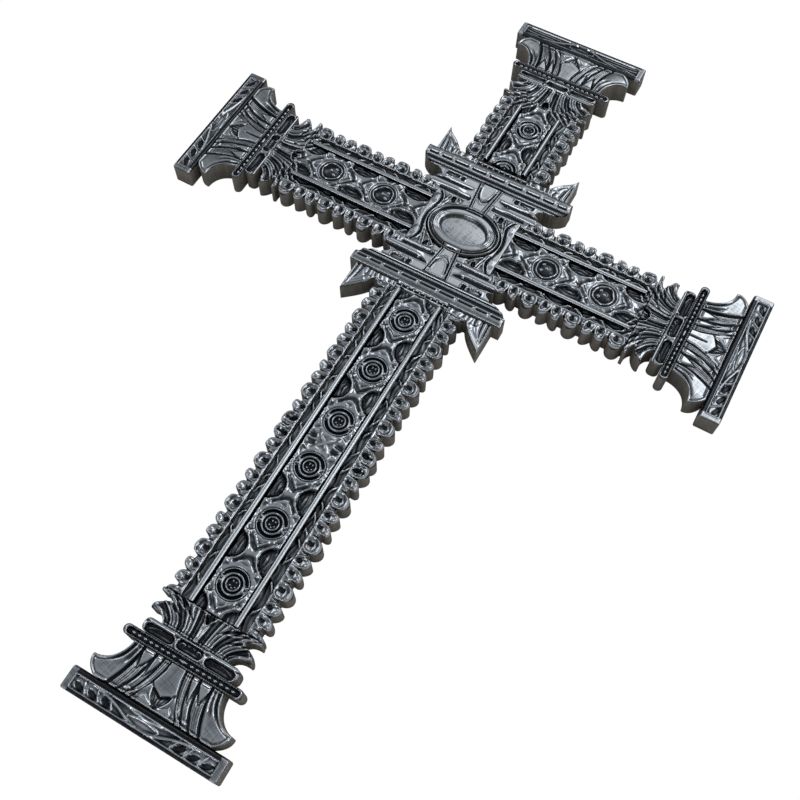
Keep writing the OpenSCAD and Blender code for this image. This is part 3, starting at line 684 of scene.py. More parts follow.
def scroll_ring(arm):
    """Collar under the neck: a scrolled cartouche between two sunk side fields."""
    middle, half = (arm.bead + arm.scroll) / 2, (arm.scroll - arm.bead) / 2 - GAP
    r = Relief(-54.5, 54.5, arm.bead, arm.scroll, FINE, end=arm.end)
    x, w = r.x, r.y
    field = box_field(x, w, 0, middle, 54.2, half, 6)
    r.dark += 0.15
    r.base += 1.2
    if arm.name == "upper":
        r.ring(w - middle - 4.6, 2.6, 1.6)
        sunk = box_field(x, w, 34.8, middle - 3.6, 16, 3.2, 3.0)
    else:
        r.ring(w - middle - 5.4, 1.5, 1.0)
        r.ring(w - middle - 3.4, 0.8, -0.9)
        sunk = box_field(x, w, 34.8, middle - 2.0, 16, 4.4, 4.2)
    r.recess(sunk, 2.4, 1.1, 0.6, 0.6)
    r.ring(sunk - 0.9, 1.0, 0.8)
    r.dome(33, middle - 4.6, 12.6, 2.4, 1.2)
    r.stroke([(20, 0.6), (34, 3.4), (48, -0.6), (49, -4)], 0.9, 1.4, at=middle)
    r.stroke([(24, -1), (36, 0.2), (44, -2.4)], 0.8, 1.0, at=middle)
    r.step_to(box_field(x, w, 0, middle - 0.6, 16.6, half - 0.6, 4.6), 0.9, 0.8)
    card = box_field(x, w, 0, middle - 0.6, 13.6, 4.6, 3.6)
    r.recess(card, 2.9, 1.0, 0.7, 0.6)
    r.dome(2, middle - 3.6, 7.4, 2.2, 1.4)
    r.stroke([(12, -4), (13, 2.4), (7.6, 4.4), (4.2, 0.6), (8.6, -1.4)], 1.0, 2.2, at=middle)
    r.stroke([(0, 3.4), (3, 1.0), (6, 3)], 0.9, 1.6, at=middle)
    r.ring(box_field(x, w, 18.9, middle + 0.4, 0.1, half - 2), 0.9, -0.8)
    casting_of(arm, "scroll_ring", r, field)


def neck(arm):
    """Fluted neck: fine flutes fan out from the collar in leaf bundles, into two curled tips on each side."""
    low, high = arm.scroll + GAP / 2, arm.neck - GAP
    r = Relief(-58.5, 58.5, arm.scroll, arm.neck, 0.4, end=arm.end)
    x, w = r.x, r.y
    field = outline(
        x, w, ([(38, low), (41, low + 8), (50, low + 9), (57.2, low + 7.8)], 10),
        ([(58, low + 9.5), (58, low + 13), (53, low + 18), (47, low + 21.6), (42.5, low + 21.8)], 10),
        ([(42.5, low + 22.2), (46, low + 26.4), (52, low + 27.6), (57.4, low + 27)], 8),
        [(57.9, low + 28), (57.2, high), (-6, high), (-6, low)])
    tau = np.clip((w - low) / (high - low), 0, 1.1)
    a = 62 * tau ** 2 + 1e-4
    flow = (-38 + np.sqrt(38 ** 2 + 4 * a * np.clip(x - 2.2 * tau, 0, None))) / (2 * a)
    bundle = 0.5 + 0.5 * np.cos(2 * np.pi * 2.7 * flow + 0.5)
    r.base += 1.9 * bundle ** 0.7 - 0.5
    r.dark += 0.75 * (1 - bundle) ** 2
    flutes = np.abs(np.sin(np.pi * 10.5 * flow)) ** 0.8
    fine = smooth(1.04, 0.94, flow + 0.12 * tau)
    r.base += fine * (1.6 * flutes - 1.0)
    r.dark += fine * 0.35 * (1 - flutes)
    r.base += 0.7 * smooth(0.2, 0.0, tau)
    r.ring(field + 1.2, 1.1, 0.9)
    for line in ([(26, 14), (36, 19), (46, 20.6)], [(14, 17), (24, 26), (38, high + 1 - low)]):
        r.stroke(line, 2.0, -2.0, (0.3, 1, 0.8), at=low)
    for line in ([(36, 5), (45, 13), (56, 11)], [(22, 20), (34, 26), (54, 28.4)]):
        r.stroke(line, 1.6, 1.3, (0.3, 1, 0.5), at=low)
    if arm.side:
        bud = np.hypot(x, (w - high - 1)) - 9.4
        r.recess(bud, 2.0, 1.2, 0.4, 0.6)
        r.ring(bud - 0.6, 1.4, 1.6)
        r.dome(0, high + 1, 6, 6, 1.6)
        r.stroke([(0, low), (0, high - 10)], 2.4, 1.9, (1, 0.9, 0.5))
    else:
        notch = outline(x, w, [(-7, high + 1), (5.6, high + 1), (4.4, high - 5), (0, high - 10.5),
                               (-5, high - 6)])
        r.recess(notch, 2.6, 1.1, 0.6, 0.6)
        r.stroke([(7, 1), (6, -6), (0.6, -12)], 1.2, 1.9, at=high)
        r.stroke([(0, low), (0, high - 12)], 2.8, 2.0, (1, 0.8, 0.5))
    casting_of(arm, "neck", r, field, rounding=0.5)


for arm in ARMS:
    abacus(arm)
    bell(arm)
    bead_ring(arm)
    scroll_ring(arm)
    neck(arm)


# ---- arms between the centre and the capitals

PANEL_HALF = 37.3   # half width of a panel
RAIL_X = 26.4       # middle of a rail
RAIL_HALF = 2.4     # half width of a rail
SEAT = 17           # radius of the seats of the discs
BEYOND = 36         # from an end disc to the star beyond it
CLOSE = 66          # discs nearer than this have small leaves between them, not a star
PITCH = 54.5        # between neighbouring large lobes of a crest
TO_PAIR = 27.2      # from a large lobe to the middle of a pair of small ones
LARGE, SMALL = (58, 9.4), (56.6, 6.6)  # reach across the arm, and half width along it, of the lobes
LOWER_MID = (ARMS[0].start + ARMS[0].stop) / 2
ROSETTES = {
    "lower": [LOWER_MID + d for d in (-173.7, -101.7, -29.7, 29.7, 101.7, 173.7)],
    "upper": [105.3, 177.5],
    "side": [109, 181.5],
}


def star(r, c, gap, out):
    """Four-pointed star between two rosettes, with a sunk lens on each flank.

    out is the way its rounded fold opens along the arm, with the arch and a small crown on the other side; it
    is 0 for a star with a fold on both sides. Where the discs are close, small leaves take the star's place.
    """
    x, y = r.x, r.y - c
    if gap < CLOSE:
        for s in (-1, 1):
            pit = oval_field(x, y - 3.2 * s, 15.5 - s, 0, 5.0, 3.0)
            r.recess(pit, 1.0, 2.0, 0.45, 1.2)
            r.stroke([(0, 0.5), (4.5, 3.4), (8.6, 9)], 2.2, 1.0, (1, 0.9, 0.3), 1.4, c, s)
            r.stroke([(2.5, 9.5), (5.5, 7.6), (10, 12)], 1.6, 0.8, soft=1.4, at=c, flip=s)
            r.stroke([(12, 9), (17, 8), (20.5, 12)], 1.6, 1.1, soft=1.4, at=c, flip=s)
        r.stroke([(9, -1), (15, 1.4), (21, -1)], 1.3, 1.2, at=c)
        return
    lens = oval_field(x, y, 23.4, 0, 14.8, 15.2) if out else oval_field(x, y, 20.6, 0, 10.6, 16.5)
    sunk = smooth(0.8, -2.6, lens)
    clear = smooth(-0.2, 1.6, lens)
    r.base -= (1.5 + 0.25 * np.sin(1.5 * x + 0.3 * np.abs(y))) * sunk
    r.dark += 0.75 * sunk
    r.stroke([(13, 9.6), (16.4, 13.4), (20, 11)], 1.4, 1.2, at=c)
    r.stroke([(16, -8), (14.6, 0), (16, 6)], 1.2, 0.8, at=c)
    near = smooth(21, 13, np.abs(y))
    fall = np.full(x.shape, 1.0)
    for way in (-1, 1):
        t = way * y
        arch = way * out < 0
        first, lean, bend, scale = (3.2, 1.1, 4.0, 1.49) if arch else (4.2, 1.15, 2.2, 1.52)
        fold = (t - first - lean * (np.hypot(x, bend) - bend)) / scale
        band = hump(fold - 1.4, 1.8) * near * clear
        r.base -= 0.45 * band
        r.dark += (0.3 if arch else 0.12) * band
        fall = fall * smooth(1.0, -3.0, fold)
        if arch:
            r.ring(fold - 4.4, 1.8, 0.6, 1.4, share=lens > 1.0)
            r.stroke([(0, 10), (3, 8.4), (4.4, 13.2), (8.6, 13)], 1.3, 1.2, at=c, flip=way)
            r.stroke([(0.4, 16), (5, 14), (9, 17)], 1.2, 0.9, at=c, flip=way)
        else:
            free = (lens > 0.4) & (t < 17)
            r.ring(fold - 3.6, 1.2, 1.3, share=free)
            r.dark -= 0.35 * hump(fold - 3.6, 1.2) * free
    r.base += 1.1 * fall * clear
    r.dark -= 0.4 * fall * clear
    lip = (x < 19) & (np.abs(y) < 14)
    r.ring(lens - 0.9, 1.6, 1.2, share=lip)
    # Painted highlight: the rim round each lens is painted lighter
    r.dark -= 0.5 * hump(lens - 0.9, 1.4) * lip


def fans(r, c):
    """Little leaf fans in the corners round a rosette, and a barb on either side of it."""
    x, y = r.x, r.y - c
    corner = smooth(12, 16, x) * smooth(25, 19, np.abs(y))
    r.base -= 0.4 * corner
    r.dark += 0.2 * corner
    for s in (-1, 1):
        for k, reach in ((12, 7.4), (46, 7.6)):
            a = math.radians(k)
            dx, dy = reach * math.sin(a) * 1.2, reach * math.cos(a)
            leaf = [(13.2, 15.6), (13.2 + dx / 2 + 1.2, 15.6 + dy / 2), (13.2 + dx, 15.6 + dy)]
            r.stroke(leaf, 1.6, 1.5, (0.6, 1, 0.3), at=c, flip=s)
        r.stroke([(17.0, 2), (19.6, 6), (20.4, 12)], 1.2, 1.2, at=c, flip=s)
        r.stroke([(16.4, 0), (19, 0.8), (21, 3)], 1.1, 1.4, (1, 0.8, 0.3), at=c, flip=s)


def panel(arm):
    """Long panel of an arm: ground, stars and fans between the rails, and dark channels beyond them."""
    r = Relief(-PANEL_HALF, PANEL_HALF, arm.start, arm.stop, COARSE)
    x, y = r.x, r.y
    field = box_field(x, y, 0, (arm.start + arm.stop) / 2, PANEL_HALF, (arm.stop - arm.start) / 2 - GAP / 2)
    places = ROSETTES["side" if arm.side else arm.name]
    r.base[:] = GROUND
    # Slightly uneven ground
    grain = np.random.default_rng(7 + ARMS.index(arm)).normal(0, 1, x.shape)
    r.base += 2.4 * blurred(blurred(grain, 4), 4)
    r.dark += 0.12
    out = {"lower": -1, "upper": 1}.get(arm.name, 0)
    for a, b in zip(places, places[1:]):
        star(r, (a + b) / 2, b - a, out)
    if arm.name != "upper":
        star(r, places[0] - BEYOND, 2 * BEYOND, out)
    star(r, places[-1] + BEYOND, 2 * BEYOND, out)
    for c in places:
        fans(r, c)
        disc = np.hypot(x, y - c) - SEAT
        r.step_to(disc, -3.6, 0.5)
        r.ring(disc - 0.6, 0.9, 0.6)
    bank = (23.2, 24.2) if arm.side else (22.0, 23.2)  # the inner bank of the channel under the rail
    edge = smooth(*bank, x)
    streaks = np.sin(1.2 * x + 1.6 * np.sin(y / 13) + 2.1 * np.sin(y / 5.7)) + 0.6 * np.sin(y / 3.1 - 0.4 * x)
    r.cover(edge, CHANNEL - 0.3 + 0.2 * streaks)
    r.dark += 0.75 * edge
    channel_leaves(r, arm)
    if arm.name != "lower":
        # Three leaves that hang over the end of the panel
        for line in ([(10, 2), (15, -6), (24, -11)], [(19, 2), (26, -6), (33, -11)],
                     [(28, 2), (34, -3), (38, -9)]):
            r.stroke(line, 3.4, 3.0, (1, 0.9, 0.3), at=arm.stop)
            r.stroke([(a + 1.5, b) for a, b in line], 0.9, -2.0, (1, 0.8, 0.3), at=arm.stop)
    casting(r, field, f"{arm.name}_panel", arm.turn, GLOSS, 0.2)


def channel_leaves(r, arm):
    """Leaf sprigs that break the dark channels now and then."""
    dice = np.random.default_rng(31 + ARMS.index(arm))
    v = arm.start + 8
    while v < arm.stop - 8:
        lean = dice.uniform(3, 7) * dice.choice((-1, 1))
        size = dice.uniform(0.8, 1.25)
        r.stroke([(36.8, -1), (34, 0), (30.8, 1)], 1.2 * size, 2.6 * size, at=v, flip=lean)
        if size > 0.95:
            r.stroke([(31.2, -0.4), (31.6, 0.4), (30.4, 1)], size, 2.2 * size, at=v, flip=lean)
        v += dice.uniform(13, 32)


def rosette(r, c):
    """Rings round a pit with small petals, between a thick dark arc above and another below."""
    x, y = r.x, r.y - c
    d = np.hypot(x, y)
    near = d < SEAT
    arc = smooth(0.28, 0.5, np.abs(y) / (d + 1e-6))
    r.base = np.where(near, GROUND - 1.0, r.base)
    pit = smooth(6.2, 5.0, d)
    r.base -= np.where(near, 1.3 * pit, 0)
    r.dark += np.where(near, 0.1 + 0.7 * pit, 0)
    for radius, half, depth, dark, share in ((8.9, 1.3, 1.1, 0.8, 1), (14.0, 2.0, 1.6, 1.1, arc)):
        groove = hump(d - radius, half) * share
        r.base -= depth * groove
        r.dark += dark * groove
    r.ring(d - 6.9, 1.3, 2.4)
    r.ring(d - 11.2, 1.5, 1.9)
    r.ring(d - 16.3, 1.1, 1.8, share=arc)
    r.dark -= 0.3 * hump(d - 6.9, 1.4)
    for px, py in ((3.0, 1.8), (0.0, 3.8), (1.8, -3.4)):
        r.dome(px, c + py, 1.5, 1.5, 1.9)
    for s in (-1, 1):
        r.stroke([(11.6, 2.5), (14.4, 0.8), (16.8, 5.6)], 1.2, 2.3, (0.4, 1, 0.5), at=c, flip=s)


def boss(r, c):
    """Domed boss within a thin uneven ring, in a deep round recess; painted shade darkens the dome and its
    groove, and painted highlights lighten its middle and two small bumps.
    """
    x, y = r.x, r.y - c
    d = np.hypot(x, y)
    a = np.arctan2(y, r.rx)
    near = d < SEAT
    edge = 12.0 + 0.45 * np.sin(3 * a + c) + 0.3 * np.sin(5 * a)
    r.base = np.where(near, GROUND - 1.4, r.base)
    # Painted shade over the dome and the groove round it
    r.dark += np.where(near, 1.1 * smooth(15.6, 14.6, d), 0)
    r.ring(d - 16.4, 1.0, 1.5)
    r.ring(d - edge, 0.9, 2.2)
    r.dark -= 1.5 * hump(d - edge, 1.0)
    r.base += np.where(d < 11.4, 2.4 * hump(d, 11.4) ** 0.7 - 0.6, 0)
    # Painted highlight at the middle of the dome
    r.dark -= 0.35 * smooth(7, 2, d)
    # Two small bumps, painted lighter as glints: painted highlights
    for px, py, size in ((0.0, 0.4, 1.7), (4.6, -5.2, 1.9)):
        r.dome(px, c + py, size, size, 1.3)
        r.dark -= 1.1 * within(np.hypot(x - px, y - py) - size, 0.6)


def discs(arm):
    """All rosettes or bosses of one arm, each a disc of its own."""
    kind, draw = ("bosses", boss) if arm.side else ("rosettes", rosette)
    places = ROSETTES["side" if arm.side else arm.name]
    r = Relief(-SEAT, SEAT, places[0] - SEAT, places[-1] + SEAT, FINE)
    field = np.full(r.x.shape, 1e3)
    for c in places:
        draw(r, c)
        field = np.minimum(field, np.hypot(r.x, r.y - c) - SEAT + 0.2)
    field = np.maximum(field, arm.start + GAP - r.y)
    # Painted shade: the upper arm's rosettes are painted darker than the same rosettes on the lower arm
    if arm.name == "upper":
        r.dark *= 1.5
    casting(r, field, f"{arm.name}_{kind}", arm.turn, [GLOSS[0], PAINTED_SHADE], 0.25,
            bottom=GROUND - 3.2)


def rails(arm):
    """Pair of rails along an arm, each ridged off its middle and bevelled down both flanks."""
    r = Relief(-RAIL_X - 2.6, RAIL_X + 2.6, arm.start, arm.stop, FINE)
    x, y = r.x, r.y
    stop = arm.stop - {"lower": 0, "upper": 12}.get(arm.name, 6)  # short of the leaves over the panel's end
    field = box_field(x, y, RAIL_X, (arm.start + stop) / 2, RAIL_HALF, (stop - arm.start) / 2 - GAP / 2)
    off = (r.rx - np.sign(r.rx) * RAIL_X) / RAIL_HALF
    if arm.name in ("lower", "left"):
        off = -off
    if arm.side:
        crown = -0.12 * np.abs(off) - 1.6 * np.clip(np.abs(off) - 0.6, 0, None)
    else:
        crown = np.where(off > 0, -0.6 * off, 0.2 * off) - 1.2 * np.clip(np.abs(off) - 0.75, 0, None)
    r.base = FACE + 3.3 + crown
    # Painted light: each rail is painted lighter all over as a painted highlight, and darker toward its
    # flanks' edges as painted shade
    r.dark += 0.3 * smooth(0.85, 1.0, np.abs(off)) - 0.3
    casting(r, field, f"{arm.name}_rails", arm.turn, RAIL, 0.1, bottom=CHANNEL - 0.3)


def crest_places(arm):
    """Large lobes and the middles of the small pairs along an arm's crest, in parts."""
    if arm.side:
        large = [109 + PITCH * k for k in (0, 1, 2)]
        return large, [c - TO_PAIR for c in large]
    if arm.name == "upper":
        large = [120 + PITCH * k for k in (0, 1)]
        return large, [c + TO_PAIR for c in large]
    large = [47 + PITCH * k for k in (0, 1, 2)]
    pairs = [18.0] + [c + TO_PAIR for c in large]
    return ([LOWER_MID + s * c for s in (-1, 1) for c in large],
            [LOWER_MID + s * c for s in (-1, 1) for c in pairs])


def curl(r, c, half, lean):
    """One crest lobe: a shallow shell with a small dark eye, within a bright lip round its outer end.

    Large lobes have no lean; a small one leans towards its large neighbour.
    """
    x, y = r.x, r.y - c
    big = not lean
    cx, a, b = (46.8, 8.8, half - 0.9) if big else (46.0, 8.2, half - 0.6)
    px, py = (x - cx) / a, (y - 0.12 * lean * (x - cx)) / b
    rho = np.hypot(px, py)
    bowl = np.clip(1 - rho ** 2, 0, 1)
    r.base -= 0.8 * bowl ** 0.7
    r.dark -= 0.1 * bowl
    eye = oval_field(x, y, cx - 2.0, -0.14 * b, 3.4 if big else 2.6, 2.5 if big else 1.8)
    r.recess(eye, 1.0, 1.3, 0.75, 0.9)
    r.ring((rho - 1.04) * b, 1.1, 0.6)
    r.stroke([(cx + 2.4, -0.2 * b), (cx + 4.6, 0.2 * b), (cx + 2, 0.6 * b)], 1.3, 0.8, soft=1.3, at=c)
    r.stroke([(cx - 5.5, 0.3 * b), (cx - 3.4, 0.66 * b), (cx, 0.6 * b)], 1.0, 0.8, at=c)
    if big:
        r.stroke([(cx - 1, -b - 0.2), (cx + 6.4, -b + 0.4), (cx + 11.6, 0), (cx + 7, b), (cx + 2.6, b + 0.4)],
                 2.2, 1.9, (0.3, 0.8, 1, 0.8, 0.3), at=c)
        r.stroke([(38.4, -4), (37.8, 5), (42.4, b + 0.6), (cx + 2.4, b + 0.4)],
                 1.4, 1.6, (0.5, 1, 0.8, 0.4), at=c)
    else:
        r.stroke([(38.2, -3), (38.0, 2.6), (42.4, b + 0.4), (48.6, b + 0.6), (54.6, b - 1.4)],
                 1.5, 1.6, (0.5, 1, 0.9, 1, 0.4), at=c, flip=lean)
        r.dome(51.4, c + 0.6 * lean, 2.6, 2.2, 0.8)


def border(arm, name, side):
    """Scalloped crest along one flank of an arm."""
    large, pairs = crest_places(arm)
    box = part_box(f"{arm.name}_border_{name}")
    axis = 0 if arm.side else 1
    near, far = sorted(abs(box[k][axis] - CROSSING[axis]) / PART for k in (0, 1))
    middle, half_length = (near + far) / 2, (far - near) / 2 - GAP / 2
    r = Relief(37, 58.6, near, far, FINE)
    x, y = r.x, r.y
    field = box_field(x, y, 40, middle, 8.2, half_length)
    # Large lobes, and small ones in pairs that lean towards their large neighbour
    beyond = [c + s * PITCH for c in large for s in (-1, 1)]
    large = sorted({round(c, 3) for c in large + beyond if abs(c - middle) < half_length + 7})
    lobes = [(c, *LARGE, 0) for c in large] + [(c + s * 7.2, *SMALL, s) for c in pairs for s in (-1, 1)]
    for c, reach, half, lean in lobes:
        lobe = oval_field(x, y - 0.34 * lean * (x - 51), reach - half - 2.8, c, half + 2.8, half)
        h = np.clip(0.5 + 0.5 * (field - lobe), 0, 1)
        field = field * (1 - h) + lobe * h - h * (1 - h)
    r.base += 1.2 - 2.4 * smooth(53.5, 58.5, x)
    r.dark += 0.12
    r.ring(x - 38.9, 1.1, 1.0)
    for c, _, half, lean in lobes:
        curl(r, c, half, lean)
    spots = sorted(c for c, *_ in lobes)
    for a, b in zip(spots, spots[1:]):
        m = (a + b) / 2
        r.stroke([(42, 0), (48, 0), (54, 0)], 1.2, -2.0, (0.3, 1, 1), at=m)
        r.dark += 0.4 * hump(y - m, 1.4) * smooth(44, 50, x)
    field = np.maximum(field, np.abs(y - middle) - half_length)
    field = np.maximum(field, 37.7 - x)
    field = r.mirrored(field, side)
    node = f"{arm.name}_border_{name}"
    casting(r, field, node, arm.turn, GLOSS, 1.5)


BORDERS = {"lower": (("left", 1), ("right", -1)), "upper": (("left", -1), ("right", 1)),
           "left": (("top", 1), ("bottom", -1)), "right": (("top", -1), ("bottom", 1))}
for arm in ARMS:
    panel(arm)
    discs(arm)
    rails(arm)
    for name, side in BORDERS[arm.name]:
        border(arm, name, side)


# ---- centre

def cornice(name, turn):
    """Cornice: a cove between fine fillets, a roll cut with long slots, and a beaded strip beyond."""
    r = Relief(-98.4, 98.4, 73, 108.3, FINE)
    x, y = r.x, r.y
    field = outline(x, y, [(-6, 73.2), (80, 73.2)], ([(80, 73.6), (86, 74.5), (94, 79), (98, 86)], 10),
                    [(98, 98.2), (33.4, 98.2), (33.4, 107.9), (-6, 107.9)])
    r.base += 0.6
    for level, half, rise in ((73.9, 0.9, 0.7), (76.2, 1.5, -1.7), (78.6, 1.0, 1.1), (85.4, 0.9, 1.0)):
        r.ring(y - level, half, rise)
    cove = smooth(79.4, 80.6, y) * smooth(85.0, 83.8, y)
    r.base -= 1.4 * cove
    r.dark += 0.35 * cove + 0.5 * hump(y - 76.2, 1.4)
    r.base += 1.1 * np.sqrt(hump(y - 92.4, 6.8))
    r.dark += 0.5 * smooth(93.2, 94.6, y) * smooth(98.6, 98.2, y)
    r.dark -= 0.35 * smooth(85.2, 86, y) * smooth(93.4, 92.4, y)
    for cx, half in ((0, 10.2), (24.5, 9.4), (48.5, 9.4), (69, 7), (87, 6)):
        slot = box_field(x, y, cx, 88.7, half, 1.5, 1.2)
        r.recess(slot, 1.0, 0.9, 1.0, 0.5)
        r.ring(slot - 1.1, 0.8, 0.6)
    r.step_to(np.where(y > 98.2, x - 40, 9), -0.4, 0.4)
    for cx in (0, 7.5, 15.3, 23.2, 30.4):
        slot = box_field(x, y, cx, 101.6, 2.8, 1.1, 0.8)
        r.step_to(slot, -1.4, 0.6)
        r.dark += 0.9 * smooth(0.5, -0.4, slot)
    r.ring(y - 103.9, 0.8, 0.8, share=y > 98.4)
    r.dark += 0.6 * smooth(104.4, 105.2, y)
    r.base -= 1.0 * smooth(104.4, 105.6, y)
    casting(r, field, name, turn, FACES, 1.2)


def frieze(name, turn):
    """Frieze between the centre plate and a cornice: a pointed slot and a bar, under sunk, curved blocks."""
    r = Relief(-71, 71, 37.5, 73.2, FINE)
    x, y = r.x, r.y
    field = outline(x, y, [(-6, 41.1), (56.1, 41.1), (56.1, 37.9), (70.3, 37.9), (70.3, 59.5)],
                    ([(69, 60.5), (61, 62), (60, 68), (76, 73)], 8), [(-6, 73)])
    field = np.maximum(field, x - 70.3)
    r.base += 1.0
    r.dark -= 0.4
    low = box_field(x, y, 44, 46.2, 29, 2.9 - 0.02 * (x - 20), 2.0)
    spear = outline(x, y, [(17.0, 61.4), (20, 59.2), (26.5, 56.6), (72, 56.6), (72, 60.4), (56, 61.8)])
    r.ring(y - 53, 3.8, 1.8, share=smooth(22, 36, x))
    slot = box_field(x, y, 36.2, 70.4, 2.1, 4.4, 1.6)
    block = box_field(x, y, 50, 70.8, 8.8, 3.9, 2.0)
    for sunk, depth, dark in ((low, 1.4, 0.7), (spear, 1.4, 0.75), (slot, 1.7, 0.9), (block, 1.5, 0.7)):
        r.step_to(sunk, -depth, 1.5)
        r.dark += dark * smooth(0.9, -1.1, sunk)
        r.ring(sunk - 1.0, 0.8, 0.6)
    r.dome(50, 69.4, 7.4, 2.0, 1.0)
    r.stroke([(33.2, 74), (32.6, 69), (34, 65.4)], 1.1, 1.7, (1, 1, 0.5))
    r.stroke([(40.6, 75), (39.6, 70), (41, 66.4), (45, 66.2)], 1.0, 1.8, (1, 1, 0.6))
    r.stroke([(50, 64), (54, 63), (57.4, 67.4)], 1.2, 1.7, (0.4, 1, 0.4))
    r.stroke([(55, 62.6), (62, 61), (70, 58.8)], 0.9, 1.5)
    for cx, cy in ((19, 43.8), (29.6, 58.2), (44.8, 68), (49.4, 67.2)):
        r.dome(cx, cy, 1.5, 1.1, 1.7)
    casting(r, field, name, turn, FACES, 0.5)


def keystone(name, turn):
    """Keystone from the bezel to the cornice, with raised edges and a tongue over a crescent."""
    r = Relief(-17, 17, 32, 73, 0.4)
    x, y = r.x, r.y
    side = 11.6 + (y - 35) * 0.115
    bezel_edge = oval_field(x, y, 0, 0, 44.8, 33.8)
    field = np.maximum(np.maximum(x - side, 0.6 - bezel_edge), y - 72.9)
    r.base[:] = FACE + 2.2
    r.dark -= 0.35
    groove = x - side + 2.0
    r.ring(x - side + 0.8, 0.8, 0.6)
    r.ring(groove, 1.1, -1.5)
    r.dark += 0.8 * hump(groove, 1.1)
    r.ring(x - side + 4.0, 1.1, 1.6)
    tongue = outline(x, y, [(-4, 73)], ([(9.6, 73), (9.8, 60), (6.4, 50.4), (0, 48)], 10), [(-4, 48)])
    crescent = outline(x, y, ([(10.5, 66), (9.4, 51), (5, 43.4), (-4, 43.2)], 12),
                       ([(-4, 47.4), (5.5, 47.4), (8.4, 56), (9.2, 67)], 12))
    r.recess(crescent, 1.4, 1.4, 0.35, 0.9)
    r.ring(crescent - 0.6, 0.8, 0.9)
    r.step_to(tongue, 0.5, 0.9)
    casting(r, field, name, turn, FACES, 0.35, bottom=FACE + 0.5)


def horn(name, turn, side):
    """Horned leaf beside an arm: a few broad folds run into its tip, over a row of low tongues."""
    r = Relief(33.2, 89.4, 98.2, 138, FINE)
    x, y = r.x, r.y
    slope = [(88, 137.6), (79, 130), (66, 120), (60, 108.4)]
    if not turn:  # the upper pair is hollowed under its tips
        slope = [(88.2, 137.6), (82.5, 123.5), (70, 128), (67, 112), (60, 108.4)]
    field = outline(x, y, [(33.7, 98.4), (88.9, 98.4), (88.8, 137.4)], (slope, 12), [(33.7, 108)])
    r.base -= 0.5 * smooth(62, 89, x)
    # Painted highlight: the outer blade is painted lighter
    r.dark -= 0.25 * smooth(64, 70, x)
    row = smooth(112, 107, y) * smooth(68, 62, x)
    phase = (x + 0.2 * y) / 7.2 + 0.35 * np.sin(x / 5.1)
    tongues = np.abs(np.sin(np.pi * phase)) ** 0.7
    r.base += row * (1.3 * tongues * smooth(98, 101, y) - 0.8)
    r.dark += row * 0.3 * (1 - tongues) + 0.3 * row * smooth(101, 98.4, y)
    for a, b, c, half, rise in ((87.6, 87.8, 88.2, 1.5, 1.2), (81.6, 82.0, 86.0, 2.0, 1.3),
                                (73.4, 73.8, 80.6, 3.4, 1.2)):
        r.stroke([(a, 98.6), (b, 114), (c, 136 - 2.1 * (88.3 - c))], half, rise, (1, 1, 0.3))
    for a, b, c in ((84.8, 85.2, 87.4), (78.2, 78.6, 84), (69.2, 69.4, 75.4)):
        r.stroke([(a, 98.6), (b, 113), (c, 133 - 2.1 * (88.3 - c))], 1.0, -1.2, (1, 1, 0.3))
    r.ring(field + 1.2, 1.1, 0.9, share=y > 109)
    r.dome(66, 113, 4.6, 5.4, 0.9, turn=30)
    field = r.mirrored(field, side)
    casting(r, field, name, turn, GLOSS, 1.4)


def centre_plate():
    """Centre plate: bright side strips with a bracket-shaped edge, and leaf scrolls in the corners."""
    r = Relief(-56, 56, -41, 41, FINE)
    x, y = r.x, np.abs(r.y)
    r.y = y
    field = box_field(x, y, 0, 0, 55.9, 40.9)
    r.base += 1.0
    ring = oval_field(x, y, 0, 0, 46.9, 35.9)
    r.step_to(ring, -1.2, 1.0)
    edge = np.interp(y, (0, 5, 10, 15, 20, 24, 27, 31, 36, 41),
                     (51.4, 51.2, 50.4, 49.0, 47.2, 46.2, 46.0, 46.6, 48.6, 52.2))
    strip = x - edge
    side = smooth(-0.5, 0.7, strip)
    r.base += 1.2 * side + 0.5 * side * smooth(9, 3, np.hypot(y - 27, (x - 50) * 1.5))
    r.ring(strip + 1.7, 1.4, -1.7)
    r.dark += 0.6 * hump(strip + 1.7, 1.5)
    r.ring(strip + 3.9, 1.0, 1.7, share=(y > 17) & (y < 41))
    r.ring(ring - 0.2, 1.2, 1.7, share=y < 20)
    leaf = smooth(24, 27, y) * smooth(20, 23, x) * smooth(-4.5, -6, strip)
    r.dark += 0.1 * leaf
    r.base -= 0.4 * leaf
    eye = oval_field(x - 0.25 * (y - 36), y, 31.5, 36, 2.4, 4.6)
    r.recess(eye, 1.8, 0.8, 0.8, 0.5)
    for line, half in (([(22.5, 35.5), (23.6, 41), (30, 42), (36, 40)], 1.2),
                       ([(34.6, 41), (35.4, 33), (38.4, 28), (40.4, 21)], 1.1),
                       ([(38.2, 41), (38.8, 34), (41.6, 27)], 0.9),
                       ([(28.6, 40), (27.4, 35), (31, 30.6)], 1.0),
                       ([(24.6, 34), (28, 30), (34, 25), (38, 20)], 1.2)):
        r.stroke(line, half, 2.1, (0.5, 1, 0.6))
    casting(r, field, "centre_plate", 0, FACES, 0.5)


